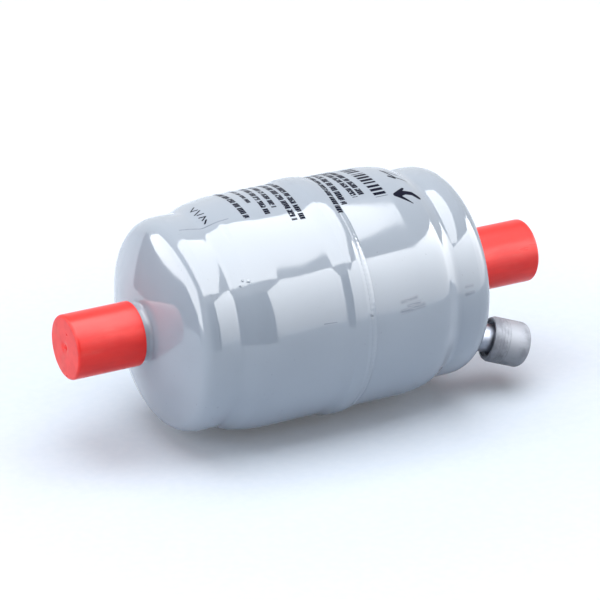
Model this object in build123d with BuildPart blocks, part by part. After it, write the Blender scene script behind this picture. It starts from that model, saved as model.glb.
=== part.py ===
from build123d import *
import os
from math import asin, cos, degrees, radians, sin, sqrt

# Suction-line filter drier with solder fittings, push-on dust caps and an access valve.
#
# Millimetres. The flow axis is X: the origin is the centre of the outlet socket's mouth, and
# +X points at the inlet, against the flow. The drier lies on its side with +Z up.
#
# Each end of the drier has a section plane of its own: its first coordinate is the depth
# inwards from the apex of that end's dome, its second the distance from the flow axis.

# ---------------------------------------------------------------- driving dimensions: shell
shell_radius = 38.1  # 3 in outside diameter
shell_wall = 1.0
outlet_cup_depth = 63.6  # dome apex to the lip of the bell
inlet_cup_depth = 59.5  # dome apex to the rim, inside the bell
crown_radius = 80.0  # dome
knuckle_radius = 6.2  # turn from dome to shoulder band
shoulder_step = 3.15  # full diameter down to the shoulder band, on the radius
band_length = 2.47  # straight part of the shoulder band
groove_step = 0.45  # shoulder band down to the bottom of the rolled groove
groove_run = 3.8  # length of the fall from the band to the groove's bottom
groove_fillet = 2.5
taper_run = 16.2  # length of the rise from the groove's bottom to the full diameter
bell_overlap = 5.8  # length of the outlet cup's bell over the inlet cup
bell_flank = 4.7  # length over which the outlet cup flares into its bell
bell_slip = 0.05  # gap between the bell and the inlet cup
cup_butt_gap = 0.2  # gap between the inlet cup's rim and the end of the flare
weld_length = 1.8
weld_height = 0.95
weld_bulge = 0.18

band_radius = shell_radius - shoulder_step
groove_radius = band_radius - groove_step
bell_radius = shell_radius + bell_slip + shell_wall

# ---------------------------------------------------------------- driving dimensions: fittings
socket_radius = 8.0  # takes a 5/8 in (15.875 mm) tube with 0.06 mm all round
socket_depth = 16.0
tube_wall = 1.1
stop_step = 1.0  # socket down to the bore behind its stop
fitting_projection = 23.8  # socket mouth to dome apex
fitting_reach = 5.0  # how far the tube reaches past the apex, inside the shell
mouth_chamfer = 0.4
braze_gap = 0.05
braze_leg = 2.1
braze_sag = 0.3  # hollow of every braze fillet, as a share of its leg

tube_radius = socket_radius + tube_wall
stop_radius = socket_radius - stop_step

# ---------------------------------------------------------------- driving dimensions: dust caps
dust_cap_wall = 1.37
dust_cap_clearance = 0.08
dust_cap_stand_off = 2.6  # open rim to dome apex
dust_cap_end_wall = 1.6
dust_cap_end_gap = 0.3  # between the tube's end and the inside of the cap
dust_cap_edge = 1.5
dust_cap_lip = 0.45
gate_radius = 0.8  # dimple where the moulding was fed
gate_depth = 0.35

# ---------------------------------------------------------------- driving dimensions: filter
plate_catch = 1.9  # how far the outlet plate overlaps the groove that stops it
plate_thickness = 1.0
plate_rim = 3.0
seat_gap = 0.1
flow_hole_radius = 1.1
flow_hole_rings = ((1, 0.0), (6, 3.4), (12, 6.9))  # count and pitch radius of each ring
screen_radius = 12.0
screen_thickness = 0.5
pad_inset = 4.0  # pad's edge inside the block's edge
pad_thickness = 2.5
core_flow_gap = 6.1  # annular passage between the block and the shell
core_length = 58.0
core_bore_radius = 9.0
core_bore_floor = 12.0  # solid end of the core, at the inlet
core_edge = 2.0
retainer_thickness = 1.0
retainer_hub_margin = 2.6  # hub beyond the spring that bears on it
retainer_arms = 3
retainer_arm_width = 8.0
retainer_tab_length = 5.0
retainer_clearance = 0.2
spring_coil_radius = 13.0
spring_wire_radius = 0.9
spring_turns = 4
spring_seat_gap = 0.25

plate_radius = groove_radius - shell_wall + plate_catch
core_radius = shell_radius - shell_wall - core_flow_gap
pad_radius = core_radius - pad_inset
retainer_hub_radius = spring_coil_radius + spring_wire_radius + retainer_hub_margin

# ---------------------------------------------------------------- driving dimensions: access valve
valve_inset = 10.75  # stub's foot inside the shoulder band, measured towards the flow axis
valve_clock = -128.3  # bearing of the stub round +X, from +Y
valve_tilt = 23.0  # lean of the stub away from the flow axis
stub_radius = 4.8
stub_inner_reach = 4.0  # below the dome's surface
stub_neck = 8.0  # dome to thread
thread_height = 0.7  # with the stub, 7/16-20 UNF over the crests
thread_length = 7.4
nose_length = 1.8
nose_step = 0.9  # stub down to the tip of its cone nose
stub_bore_radius = 1.9
core_seat_step = 0.8  # stub's bore up to the wider bore for the valve core
core_seat_depth = 8.6  # from the tip of the stub
stub_seat_cone = 0.8
stub_braze_leg = 2.2

access_cap_wall = 2.02
access_cap_rim = 6.5  # dome to rim, along the stub
access_cap_clearance = 0.08
access_cap_top_wall = 1.6
access_cap_edge = 3.0
access_cap_chamfer = 0.35
turned_grooves = 4
turned_groove_pitch = 1.1
turned_groove_first = 1.8  # from the rim
turned_groove_depth = 0.12
seal_thickness = 1.1
seal_side_gap = 0.38
seal_gap = 0.03

barrel_clearance = 0.08
barrel_wall = 0.87
barrel_recess = 0.6  # top of the barrel below the tip of the stub
barrel_floor = 1.2  # above the nose
barrel_slot_depth = 1.0
barrel_slot_overrun = 0.5  # cut past the barrel's wall at each end
barrel_nose_clearance = 0.3
barrel_nose_length = 3.0
gasket_length = 1.6
gasket_clearance = 0.08
pin_radius = 0.6
pin_clearance = 0.08
pin_collar_clearance = 0.35
pin_collar_height = 0.6
pin_collar_drop = 2.0  # below the top of the barrel
pin_head_proud = 0.2  # above the top of the barrel
pin_cup_clearance = 0.4
pin_cup_height = 0.9
pin_seal_thickness = 0.6
pin_seal_inset = 0.15  # washer's edge inside the cup's edge
pin_lift_gap = 0.02
valve_spring_wire = 0.18
valve_spring_turns = 5
valve_spring_gap = 0.04

valve_offset = band_radius - valve_inset
thread_radius = stub_radius + thread_height
nose_radius = stub_radius - nose_step
core_seat_radius = stub_bore_radius + core_seat_step
access_cap_bore = thread_radius + access_cap_clearance
access_cap_radius = access_cap_bore + access_cap_wall
seal_radius = access_cap_bore - seal_side_gap
barrel_radius = core_seat_radius - barrel_clearance
barrel_bore_radius = barrel_radius - barrel_wall
barrel_nose_radius = stub_bore_radius - barrel_nose_clearance
gasket_radius = stub_bore_radius - gasket_clearance
pin_collar_radius = barrel_bore_radius - pin_collar_clearance
pin_cup_radius = stub_bore_radius - pin_cup_clearance
pin_seal_radius = pin_cup_radius - pin_seal_inset
valve_spring_radius = (pin_radius + barrel_bore_radius) / 2

# ---------------------------------------------------------------- positions along the flow axis
outlet_apex = fitting_projection
bell_lip = outlet_apex + outlet_cup_depth
bell_start = bell_lip - bell_overlap
inlet_apex = bell_start + cup_butt_gap + inlet_cup_depth
inlet_mouth = inlet_apex + fitting_projection

outlet_end = Plane(origin=(outlet_apex, 0, 0), x_dir=(1, 0, 0), z_dir=(0, -1, 0))
inlet_end = Plane(origin=(inlet_apex, 0, 0), x_dir=(-1, 0, 0), z_dir=(0, 1, 0))


def dome_depth(radius, inset=0.0):
    """Depth of the dome's surface, or of the surface inset under it, at a distance from the axis."""
    return crown_radius - sqrt((crown_radius - inset) ** 2 - radius**2)


# ---------------------------------------------------------------- shoulder geometry, shared by both cups
# The dome, knuckle, band, groove and taper are arcs tangent to each other.
dome_turn = degrees(asin((band_radius - knuckle_radius) / (crown_radius - knuckle_radius)))
knuckle_depth = crown_radius - (crown_radius - knuckle_radius) * cos(radians(dome_turn))
band_crest = knuckle_depth + band_length
groove_depth = band_crest + groove_run
taper_depth = groove_depth + taper_run


def blend_span(run, rise):
    """Sum of the radii of two arcs that join two parallel lines, a rise apart over a run."""
    return (run**2 + rise**2) / (2 * rise)


band_span = blend_span(groove_run, groove_step)
band_arc = band_span - groove_fillet
band_turn = degrees(asin(groove_run / band_span))
taper_span = blend_span(taper_run, shell_radius - groove_radius)
taper_arc = taper_span - groove_fillet
taper_turn = degrees(asin(taper_run / taper_span))
flank_arc = blend_span(bell_flank, bell_radius - shell_radius) / 2
flank_turn = degrees(asin(bell_flank / (2 * flank_arc)))


def turn_about(centre, radius, start, end):
    """Arc about a centre, from one bearing to another in degrees."""
    CenterArc(centre, radius, start, end - start)


def draw_cup_side(hole_radius, inset, cylinder_end):
    """One face of a cup's wall, from its hole to the end of its cylinder, inset from the outside."""
    crown = crown_radius - inset
    turn_about((crown_radius, 0), crown, 180 - degrees(asin(hole_radius / crown)), 180 - dome_turn)
    turn_about((knuckle_depth, band_radius - knuckle_radius), knuckle_radius - inset, 180 - dome_turn, 90)
    Line((knuckle_depth, band_radius - inset), (band_crest, band_radius - inset))
    turn_about((band_crest, band_radius - band_arc), band_arc - inset, 90, 90 - band_turn)
    groove_centre = (groove_depth, groove_radius + groove_fillet)
    turn_about(groove_centre, groove_fillet + inset, 270 - band_turn, 270 + taper_turn)
    turn_about((taper_depth, shell_radius - taper_arc), taper_arc - inset, 90 + taper_turn, 90)
    Line((taper_depth, shell_radius - inset), (cylinder_end, shell_radius - inset))


def close_hole(hole_radius):
    """Edge of the hole in the middle of a dome."""
    outside = (dome_depth(hole_radius), hole_radius)
    inside = (dome_depth(hole_radius, shell_wall), hole_radius)
    Line(outside, inside)


def draw_flank(inset, start):
    """One face of the outlet cup's flare and of the bell that follows it."""
    end = start + bell_flank
    turn_about((start, shell_radius + flank_arc), flank_arc + inset, 270, 270 + flank_turn)
    turn_about((end, bell_radius - flank_arc), flank_arc - inset, 90 + flank_turn, 90)
    Line((end, bell_radius - inset), (outlet_cup_depth, bell_radius - inset))


# ---------------------------------------------------------------- valve axis
valve_outward = Vector(0, cos(radians(valve_clock)), sin(radians(valve_clock)))
valve_axis = Vector(1, 0, 0) * cos(radians(valve_tilt)) + valve_outward * sin(radians(valve_tilt))
valve_foot = Vector(inlet_apex - dome_depth(valve_offset), 0, 0) + valve_outward * valve_offset
valve_side = Vector(-1, 0, 0) * sin(radians(valve_tilt)) + valve_outward * cos(radians(valve_tilt))
valve_section = Plane(origin=valve_foot, x_dir=valve_side, z_dir=valve_side.cross(valve_axis))
valve_across = Plane(origin=valve_foot, x_dir=valve_side, z_dir=valve_axis)
valve_line = Axis(valve_foot, valve_axis)

thread_end = stub_neck + thread_length
stub_tip = thread_end + nose_length
seal_base = stub_tip + seal_gap
access_cap_floor = seal_base + seal_thickness + seal_gap
access_cap_top = access_cap_floor + access_cap_top_wall
core_seat = stub_tip - core_seat_depth
barrel_top = stub_tip - barrel_recess
barrel_shoulder = core_seat
barrel_base = barrel_shoulder - barrel_nose_length
pin_collar_base = barrel_top - pin_collar_drop - pin_collar_height
spring_floor = barrel_shoulder + barrel_floor


# ---------------------------------------------------------------- shell
def make_outlet_shell():
    """Deep-drawn outlet cup: dome, knuckle, band, rolled groove, taper, cylinder and bell."""
    flank_start = outlet_cup_depth - bell_overlap - bell_flank
    hole = tube_radius + braze_gap
    with BuildPart() as outlet_shell:
        with BuildSketch(outlet_end):
            with BuildLine():
                draw_cup_side(hole, 0, flank_start)
                draw_flank(0, flank_start)
                Line((outlet_cup_depth, bell_radius), (outlet_cup_depth, bell_radius - shell_wall))
                draw_flank(shell_wall, flank_start)
                draw_cup_side(hole, shell_wall, flank_start)
                close_hole(hole)
            make_face()
        revolve(axis=Axis.X)
    return outlet_shell.part


def make_inlet_shell():
    """Deep-drawn inlet cup, whose plain rim enters the bell, with the hole for the valve stub."""
    hole = tube_radius + braze_gap
    with BuildPart() as inlet_shell:
        with BuildSketch(inlet_end):
            with BuildLine():
                draw_cup_side(hole, 0, inlet_cup_depth)
                Line((inlet_cup_depth, shell_radius), (inlet_cup_depth, shell_radius - shell_wall))
                draw_cup_side(hole, shell_wall, inlet_cup_depth)
                close_hole(hole)
            make_face()
        revolve(axis=Axis.X)
        with BuildSketch(valve_across):
            Circle(stub_radius + braze_gap)
        extrude(amount=stub_inner_reach, both=True, mode=Mode.SUBTRACT)
    return inlet_shell.part


def make_seam_weld():
    """Weld bead in the step between the bell's lip and the inlet cup."""
    with BuildPart() as seam_weld:
        with BuildSketch(Plane.XZ):
            with BuildLine():
                foot = (bell_lip + weld_length, shell_radius)
                crest = (bell_lip, shell_radius + weld_height)
                corner = (bell_lip, shell_radius)
                half = (bell_lip + weld_length / 2, shell_radius + weld_height / 2)
                middle = (half[0] + weld_bulge, half[1] + weld_bulge)
                Line(corner, foot)
                ThreePointArc(foot, middle, crest)
                Line(crest, corner)
            make_face()
        revolve(axis=Axis.X)
    return seam_weld.part


# ---------------------------------------------------------------- fittings and dust caps
def make_fitting(end):
    """Solder fitting: socket for the pipe, stop shoulder and the tube through the dome."""
    mouth = -fitting_projection
    stop = mouth + socket_depth
    with BuildPart() as fitting:
        with BuildSketch(end):
            with BuildLine():
                Polyline(
                    (mouth, socket_radius),
                    (mouth, tube_radius - mouth_chamfer),
                    (mouth + mouth_chamfer, tube_radius),
                    (fitting_reach, tube_radius),
                    (fitting_reach, stop_radius),
                    (stop, stop_radius),
                    (stop, socket_radius),
                    close=True,
                )
            make_face()
        revolve(axis=Axis.X)
    return fitting.part


def make_braze_ring(end):
    """Concave braze fillet between a fitting's tube and the dome."""
    root = dome_depth(tube_radius)
    toe_radius = tube_radius + braze_leg
    toe = (dome_depth(toe_radius), toe_radius)
    top = (root - braze_leg, tube_radius)
    hollow = (root - braze_sag * braze_leg, tube_radius + braze_sag * braze_leg)
    middle_radius = tube_radius + braze_leg / 2
    with BuildPart() as braze_ring:
        with BuildSketch(end):
            with BuildLine():
                ThreePointArc(top, hollow, toe)
                ThreePointArc(toe, (dome_depth(middle_radius), middle_radius), (root, tube_radius))
                Line((root, tube_radius), top)
            make_face()
        revolve(axis=Axis.X)
    return braze_ring.part


def make_dust_cap(end):
    """Push-on plastic cap: closed end with a rounded edge and a gate dimple, rounded open lip."""
    inner = tube_radius + dust_cap_clearance
    outer = inner + dust_cap_wall
    floor = -fitting_projection - dust_cap_end_gap
    closed = floor - dust_cap_end_wall
    rim = -dust_cap_stand_off
    with BuildPart() as dust_cap:
        with BuildSketch(end):
            with BuildLine():
                Polyline(
                    (closed + gate_depth, 0),
                    (closed, gate_radius),
                    (closed, outer - dust_cap_edge),
                )
                CenterArc((closed + dust_cap_edge, outer - dust_cap_edge), dust_cap_edge, 180, -90)
                Line((closed + dust_cap_edge, outer), (rim - dust_cap_lip, outer))
                CenterArc((rim - dust_cap_lip, outer - dust_cap_lip), dust_cap_lip, 90, -90)
                Polyline(
                    (rim, outer - dust_cap_lip),
                    (rim, inner + dust_cap_lip),
                    (rim - dust_cap_lip, inner),
                    (floor, inner),
                    (floor, 0),
                    (closed + gate_depth, 0),
                )
            make_face()
        revolve(axis=Axis.X)
    return dust_cap.part


# ---------------------------------------------------------------- filter inside the shell
taper_inner = taper_arc - shell_wall
plate_seat = taper_depth - sqrt(taper_inner**2 - (plate_radius - shell_radius + taper_arc) ** 2) + seat_gap
plate_face = plate_seat + plate_thickness
pad_face = plate_face + pad_thickness
core_face = outlet_apex + pad_face + core_length
retainer_face = core_face + retainer_thickness


def make_outlet_plate():
    """Perforated steel plate with a turned-up rim, stopped by the outlet cup's taper."""
    rim_inner = plate_radius - plate_thickness
    with BuildPart() as outlet_plate:
        with BuildSketch(outlet_end):
            with BuildLine():
                Polyline(
                    (plate_seat, 0),
                    (plate_seat, plate_radius),
                    (plate_seat + plate_rim, plate_radius),
                    (plate_seat + plate_rim, rim_inner),
                    (plate_face, rim_inner),
                    (plate_face, 0),
                    close=True,
                )
            make_face()
        revolve(axis=Axis.X)
        with BuildSketch(Plane.YZ.offset(outlet_apex + plate_seat)):
            for count, pitch_radius in flow_hole_rings:
                with PolarLocations(pitch_radius, count):
                    Circle(flow_hole_radius)
        extrude(amount=plate_thickness, mode=Mode.SUBTRACT)
    return outlet_plate.part


def make_disc(start, thickness, radius):
    """Plain disc across the flow axis."""
    with BuildPart() as disc:
        with BuildSketch(Plane.YZ.offset(start)):
            Circle(radius)
        extrude(amount=thickness)
    return disc.part


def make_desiccant_core():
    """Moulded desiccant block with a blind bore that opens towards the outlet."""
    start = outlet_apex + pad_face
    with BuildPart() as desiccant_core:
        with BuildSketch(Plane.YZ.offset(start)):
            Circle(core_radius)
            Circle(core_bore_radius, mode=Mode.SUBTRACT)
        extrude(amount=core_length - core_bore_floor)
        with BuildSketch(Plane.YZ.offset(start + core_length - core_bore_floor)):
            Circle(core_radius)
        extrude(amount=core_bore_floor)
        outer_edges = desiccant_core.edges().filter_by(GeomType.CIRCLE).group_by(SortBy.RADIUS)[-1]
        chamfer([outer_edges.sort_by(Axis.X)[0], outer_edges.sort_by(Axis.X)[-1]], core_edge)
    return desiccant_core.part


def make_core_retainer():
    """Three-armed sheet spider that centres the core, with a tab bent over its edge on each arm."""
    tab_inner = core_radius + retainer_clearance
    tab_outer = tab_inner + retainer_thickness
    with BuildPart() as core_retainer:
        with BuildSketch(Plane.YZ.offset(core_face)):
            Circle(retainer_hub_radius)
            with PolarLocations(0, retainer_arms):
                with Locations((tab_outer / 2, 0)):
                    Rectangle(tab_outer, retainer_arm_width)
            Circle(stop_radius, mode=Mode.SUBTRACT)
        extrude(amount=retainer_thickness)
        with BuildSketch(Plane.YZ.offset(core_face - retainer_tab_length)):
            with PolarLocations(0, retainer_arms):
                with Locations(((tab_inner + tab_outer) / 2, 0)):
                    Rectangle(retainer_thickness, retainer_arm_width)
        extrude(amount=retainer_tab_length)
    return core_retainer.part


def make_core_spring():
    """Compression spring between the inlet dome and the core's retainer."""
    start = retainer_face + spring_seat_gap + spring_wire_radius
    dome_inside = inlet_apex - dome_depth(spring_coil_radius + spring_wire_radius, shell_wall)
    height = dome_inside - spring_seat_gap - spring_wire_radius - start
    with BuildPart() as core_spring:
        with BuildLine():
            pitch = height / spring_turns
            coil = Helix(pitch, height, spring_coil_radius, center=(start, 0, 0), direction=(1, 0, 0))
        with BuildSketch(Plane(origin=coil @ 0, z_dir=coil % 0)):
            Circle(spring_wire_radius)
        sweep(is_frenet=True)
    return core_spring.part


# ---------------------------------------------------------------- access valve
def make_valve_stub():
    """Access valve body: neck through the dome, flare thread, cone nose and seat for the core."""
    with BuildPart() as valve_stub:
        with BuildSketch(valve_section):
            with BuildLine():
                Polyline(
                    (stub_bore_radius, -stub_inner_reach),
                    (stub_radius, -stub_inner_reach),
                    (stub_radius, stub_neck - thread_height),
                    (thread_radius, stub_neck),
                    (thread_radius, thread_end - thread_height),
                    (stub_radius, thread_end),
                    (nose_radius, stub_tip),
                    (core_seat_radius, stub_tip),
                    (core_seat_radius, core_seat),
                    (stub_bore_radius, core_seat - stub_seat_cone),
                    close=True,
                )
            make_face()
        revolve(axis=valve_line)
    return valve_stub.part


def make_valve_braze_ring():
    """Braze fillet round the foot of the valve stub, cut to the dome."""
    reach = stub_radius + stub_braze_leg
    with BuildPart() as valve_braze_ring:
        with BuildSketch(valve_section):
            with BuildLine():
                hollow = (stub_radius + braze_sag * stub_braze_leg, braze_sag * stub_braze_leg)
                ThreePointArc((stub_radius, stub_braze_leg), hollow, (reach, 0))
                Polyline(
                    (reach, 0),
                    (reach, -stub_braze_leg),
                    (stub_radius, -stub_braze_leg),
                    (stub_radius, stub_braze_leg),
                )
            make_face()
        revolve(axis=valve_line)
        with Locations((inlet_apex - crown_radius, 0, 0)):
            Sphere(crown_radius, mode=Mode.SUBTRACT)
    return valve_braze_ring.part


def make_valve_barrel():
    """Screw-in valve core barrel, with a spring pocket, spanner slot and narrow nose."""
    pin_hole = pin_radius + pin_clearance
    with BuildPart() as valve_barrel:
        with BuildSketch(valve_section):
            with BuildLine():
                Polyline(
                    (pin_hole, barrel_base),
                    (barrel_nose_radius, barrel_base),
                    (barrel_nose_radius, barrel_shoulder),
                    (barrel_radius, barrel_shoulder + barrel_radius - barrel_nose_radius),
                    (barrel_radius, barrel_top),
                    (barrel_bore_radius, barrel_top),
                    (barrel_bore_radius, spring_floor),
                    (pin_hole, spring_floor),
                    close=True,
                )
            make_face()
        revolve(axis=valve_line)
        with BuildSketch(valve_across.offset(barrel_top - barrel_slot_depth)):
            Rectangle(2 * (barrel_radius + barrel_slot_overrun), 2 * pin_radius)
        extrude(amount=barrel_slot_depth, mode=Mode.SUBTRACT)
    return valve_barrel.part


def make_valve_gasket():
    """Seal ring on the barrel's nose, pressed against the cone seat in the stub."""
    top = barrel_shoulder
    with BuildPart() as valve_gasket:
        with BuildSketch(valve_section):
            with BuildLine():
                Polyline(
                    (barrel_nose_radius, top - gasket_length),
                    (gasket_radius, top - gasket_length),
                    (gasket_radius, top),
                    (barrel_nose_radius, top),
                    close=True,
                )
            make_face()
        revolve(axis=valve_line)
    return valve_gasket.part


def make_valve_pin():
    """Spring-loaded pin with a collar in the spring pocket and a cup under the barrel."""
    cup_top = barrel_base - pin_seal_thickness - 2 * pin_lift_gap
    cup_base = cup_top - pin_cup_height
    collar_top = pin_collar_base + pin_collar_height
    with BuildPart() as valve_pin:
        with BuildSketch(valve_section):
            with BuildLine():
                Polyline(
                    (0, cup_base),
                    (pin_cup_radius, cup_base),
                    (pin_cup_radius, cup_top),
                    (pin_radius, cup_top),
                    (pin_radius, pin_collar_base),
                    (pin_collar_radius, pin_collar_base),
                    (pin_collar_radius, collar_top),
                    (pin_radius, collar_top),
                    (pin_radius, barrel_top + pin_head_proud),
                    (0, barrel_top + pin_head_proud),
                    close=True,
                )
            make_face()
        revolve(axis=valve_line)
    return valve_pin.part


def make_valve_pin_seal():
    """Rubber washer on the pin's cup, which closes the barrel's nose."""
    base = barrel_base - pin_seal_thickness - pin_lift_gap
    with BuildPart() as valve_pin_seal:
        with BuildSketch(valve_across.offset(base)):
            Circle(pin_seal_radius)
            Circle(pin_radius + pin_lift_gap, mode=Mode.SUBTRACT)
        extrude(amount=pin_seal_thickness)
    return valve_pin_seal.part


def make_valve_spring():
    """Spring in the barrel's pocket, under the pin's collar."""
    start = spring_floor + valve_spring_gap + valve_spring_wire
    height = pin_collar_base - valve_spring_gap - valve_spring_wire - start
    with BuildPart() as valve_spring:
        with BuildLine():
            pitch = height / valve_spring_turns
            foot = valve_foot + valve_axis * start
            coil = Helix(pitch, height, valve_spring_radius, center=foot, direction=valve_axis)
        with BuildSketch(Plane(origin=coil @ 0, z_dir=coil % 0)):
            Circle(valve_spring_wire)
        sweep(is_frenet=True)
    return valve_spring.part


def make_access_cap():
    """Turned metal cap over the stub, with a round top and fine grooves near its rim."""
    with BuildPart() as access_cap:
        with BuildSketch(valve_section):
            with BuildLine():
                Polyline(
                    (0, access_cap_floor),
                    (access_cap_bore, access_cap_floor),
                    (access_cap_bore, access_cap_rim + access_cap_chamfer),
                    (access_cap_bore + access_cap_chamfer, access_cap_rim),
                    (access_cap_radius - access_cap_chamfer, access_cap_rim),
                    (access_cap_radius, access_cap_rim + access_cap_chamfer),
                    (access_cap_radius, access_cap_top - access_cap_edge),
                )
                corner = (access_cap_radius - access_cap_edge, access_cap_top - access_cap_edge)
                CenterArc(corner, access_cap_edge, 0, 90)
                Polyline(
                    (access_cap_radius - access_cap_edge, access_cap_top),
                    (0, access_cap_top),
                    (0, access_cap_floor),
                )
            make_face()
            side = 2 * turned_groove_depth
            for groove in range(turned_grooves):
                centre = access_cap_rim + turned_groove_first + groove * turned_groove_pitch
                with Locations((access_cap_radius, centre)):
                    Rectangle(side, side, rotation=45, mode=Mode.SUBTRACT)
        revolve(axis=valve_line)
    return access_cap.part


def make_access_cap_seal():
    """Flat seal in the top of the access cap, which closes on the stub's nose."""
    with BuildPart() as access_cap_seal:
        with BuildSketch(valve_across.offset(seal_base)):
            Circle(seal_radius)
        extrude(amount=seal_thickness)
    return access_cap_seal.part


# ---------------------------------------------------------------- all pieces
pieces = {
    "outlet_shell": make_outlet_shell(),
    "inlet_shell": make_inlet_shell(),
    "seam_weld": make_seam_weld(),
    "outlet_fitting": make_fitting(outlet_end),
    "inlet_fitting": make_fitting(inlet_end),
    "outlet_braze_ring": make_braze_ring(outlet_end),
    "inlet_braze_ring": make_braze_ring(inlet_end),
    "outlet_dust_cap": make_dust_cap(outlet_end),
    "inlet_dust_cap": make_dust_cap(inlet_end),
    "outlet_plate": make_outlet_plate(),
    "outlet_screen": make_disc(outlet_apex + plate_seat - screen_thickness, screen_thickness, screen_radius),
    "filter_pad": make_disc(outlet_apex + plate_face, pad_thickness, pad_radius),
    "desiccant_core": make_desiccant_core(),
    "core_retainer": make_core_retainer(),
    "core_spring": make_core_spring(),
    "valve_stub": make_valve_stub(),
    "valve_braze_ring": make_valve_braze_ring(),
    "valve_barrel": make_valve_barrel(),
    "valve_gasket": make_valve_gasket(),
    "valve_pin": make_valve_pin(),
    "valve_pin_seal": make_valve_pin_seal(),
    "valve_spring": make_valve_spring(),
    "access_cap": make_access_cap(),
    "access_cap_seal": make_access_cap_seal(),
}

os.makedirs("parts", exist_ok=True)
for name, part in pieces.items():
    part.label = name
    export_step(part, f"parts/{name}.step")
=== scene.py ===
"""Looks of a suction-line filter drier: enamelled shell, capped solder fittings and access valve.

Sizes are millimetres from the centre of the outlet socket's mouth, with X along the flow axis
towards the inlet and Z up. Meshes are scaled to metres as they are made.
"""

import logging
from abc import ABC, abstractmethod
from dataclasses import dataclass, field
from enum import Enum
from math import asin, cos, degrees, pi, radians, sin, sqrt
from typing import Any, Callable, Iterable, Sequence

import bpy
import numpy as np
from mathutils import Matrix, Vector


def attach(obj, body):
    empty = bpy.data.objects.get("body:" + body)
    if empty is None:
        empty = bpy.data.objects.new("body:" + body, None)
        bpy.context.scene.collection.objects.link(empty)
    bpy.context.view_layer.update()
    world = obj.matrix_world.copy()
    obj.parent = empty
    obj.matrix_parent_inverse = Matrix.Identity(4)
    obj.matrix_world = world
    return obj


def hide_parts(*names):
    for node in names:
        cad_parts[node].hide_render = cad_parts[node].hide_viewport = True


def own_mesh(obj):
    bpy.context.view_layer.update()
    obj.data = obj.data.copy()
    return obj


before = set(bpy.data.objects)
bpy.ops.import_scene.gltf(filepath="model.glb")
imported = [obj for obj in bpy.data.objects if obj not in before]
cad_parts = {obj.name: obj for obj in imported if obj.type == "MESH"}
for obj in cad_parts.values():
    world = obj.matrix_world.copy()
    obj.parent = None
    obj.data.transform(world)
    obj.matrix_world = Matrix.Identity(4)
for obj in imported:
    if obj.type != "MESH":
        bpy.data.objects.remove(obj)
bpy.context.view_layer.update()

log = logging.getLogger("drier")
MM = 0.001
SHARP_ANGLE = 38
POLE_RADIUS = 1e-6
SAME_POINT = 1e-4
Colour = tuple[float, float, float]
Points = np.ndarray
MADE: dict[str, bpy.types.Material] = {}


class Body(Enum):
    """CAD bodies that pieces ride on."""

    DRIER = "drier"
    OUTLET_CAP = "outlet_dust_cap"
    INLET_CAP = "inlet_dust_cap"
    ACCESS_CAP = "access_cap"


class Slot(Enum):
    """Material slots of the record."""

    ENAMEL = "shell_enamel"
    COPPER = "fitting_copper"
    PLASTIC = "cap_plastic"
    STUB = "stub_metal"
    NICKEL = "cap_nickel"
    SPRING = "spring_steel"


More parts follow.
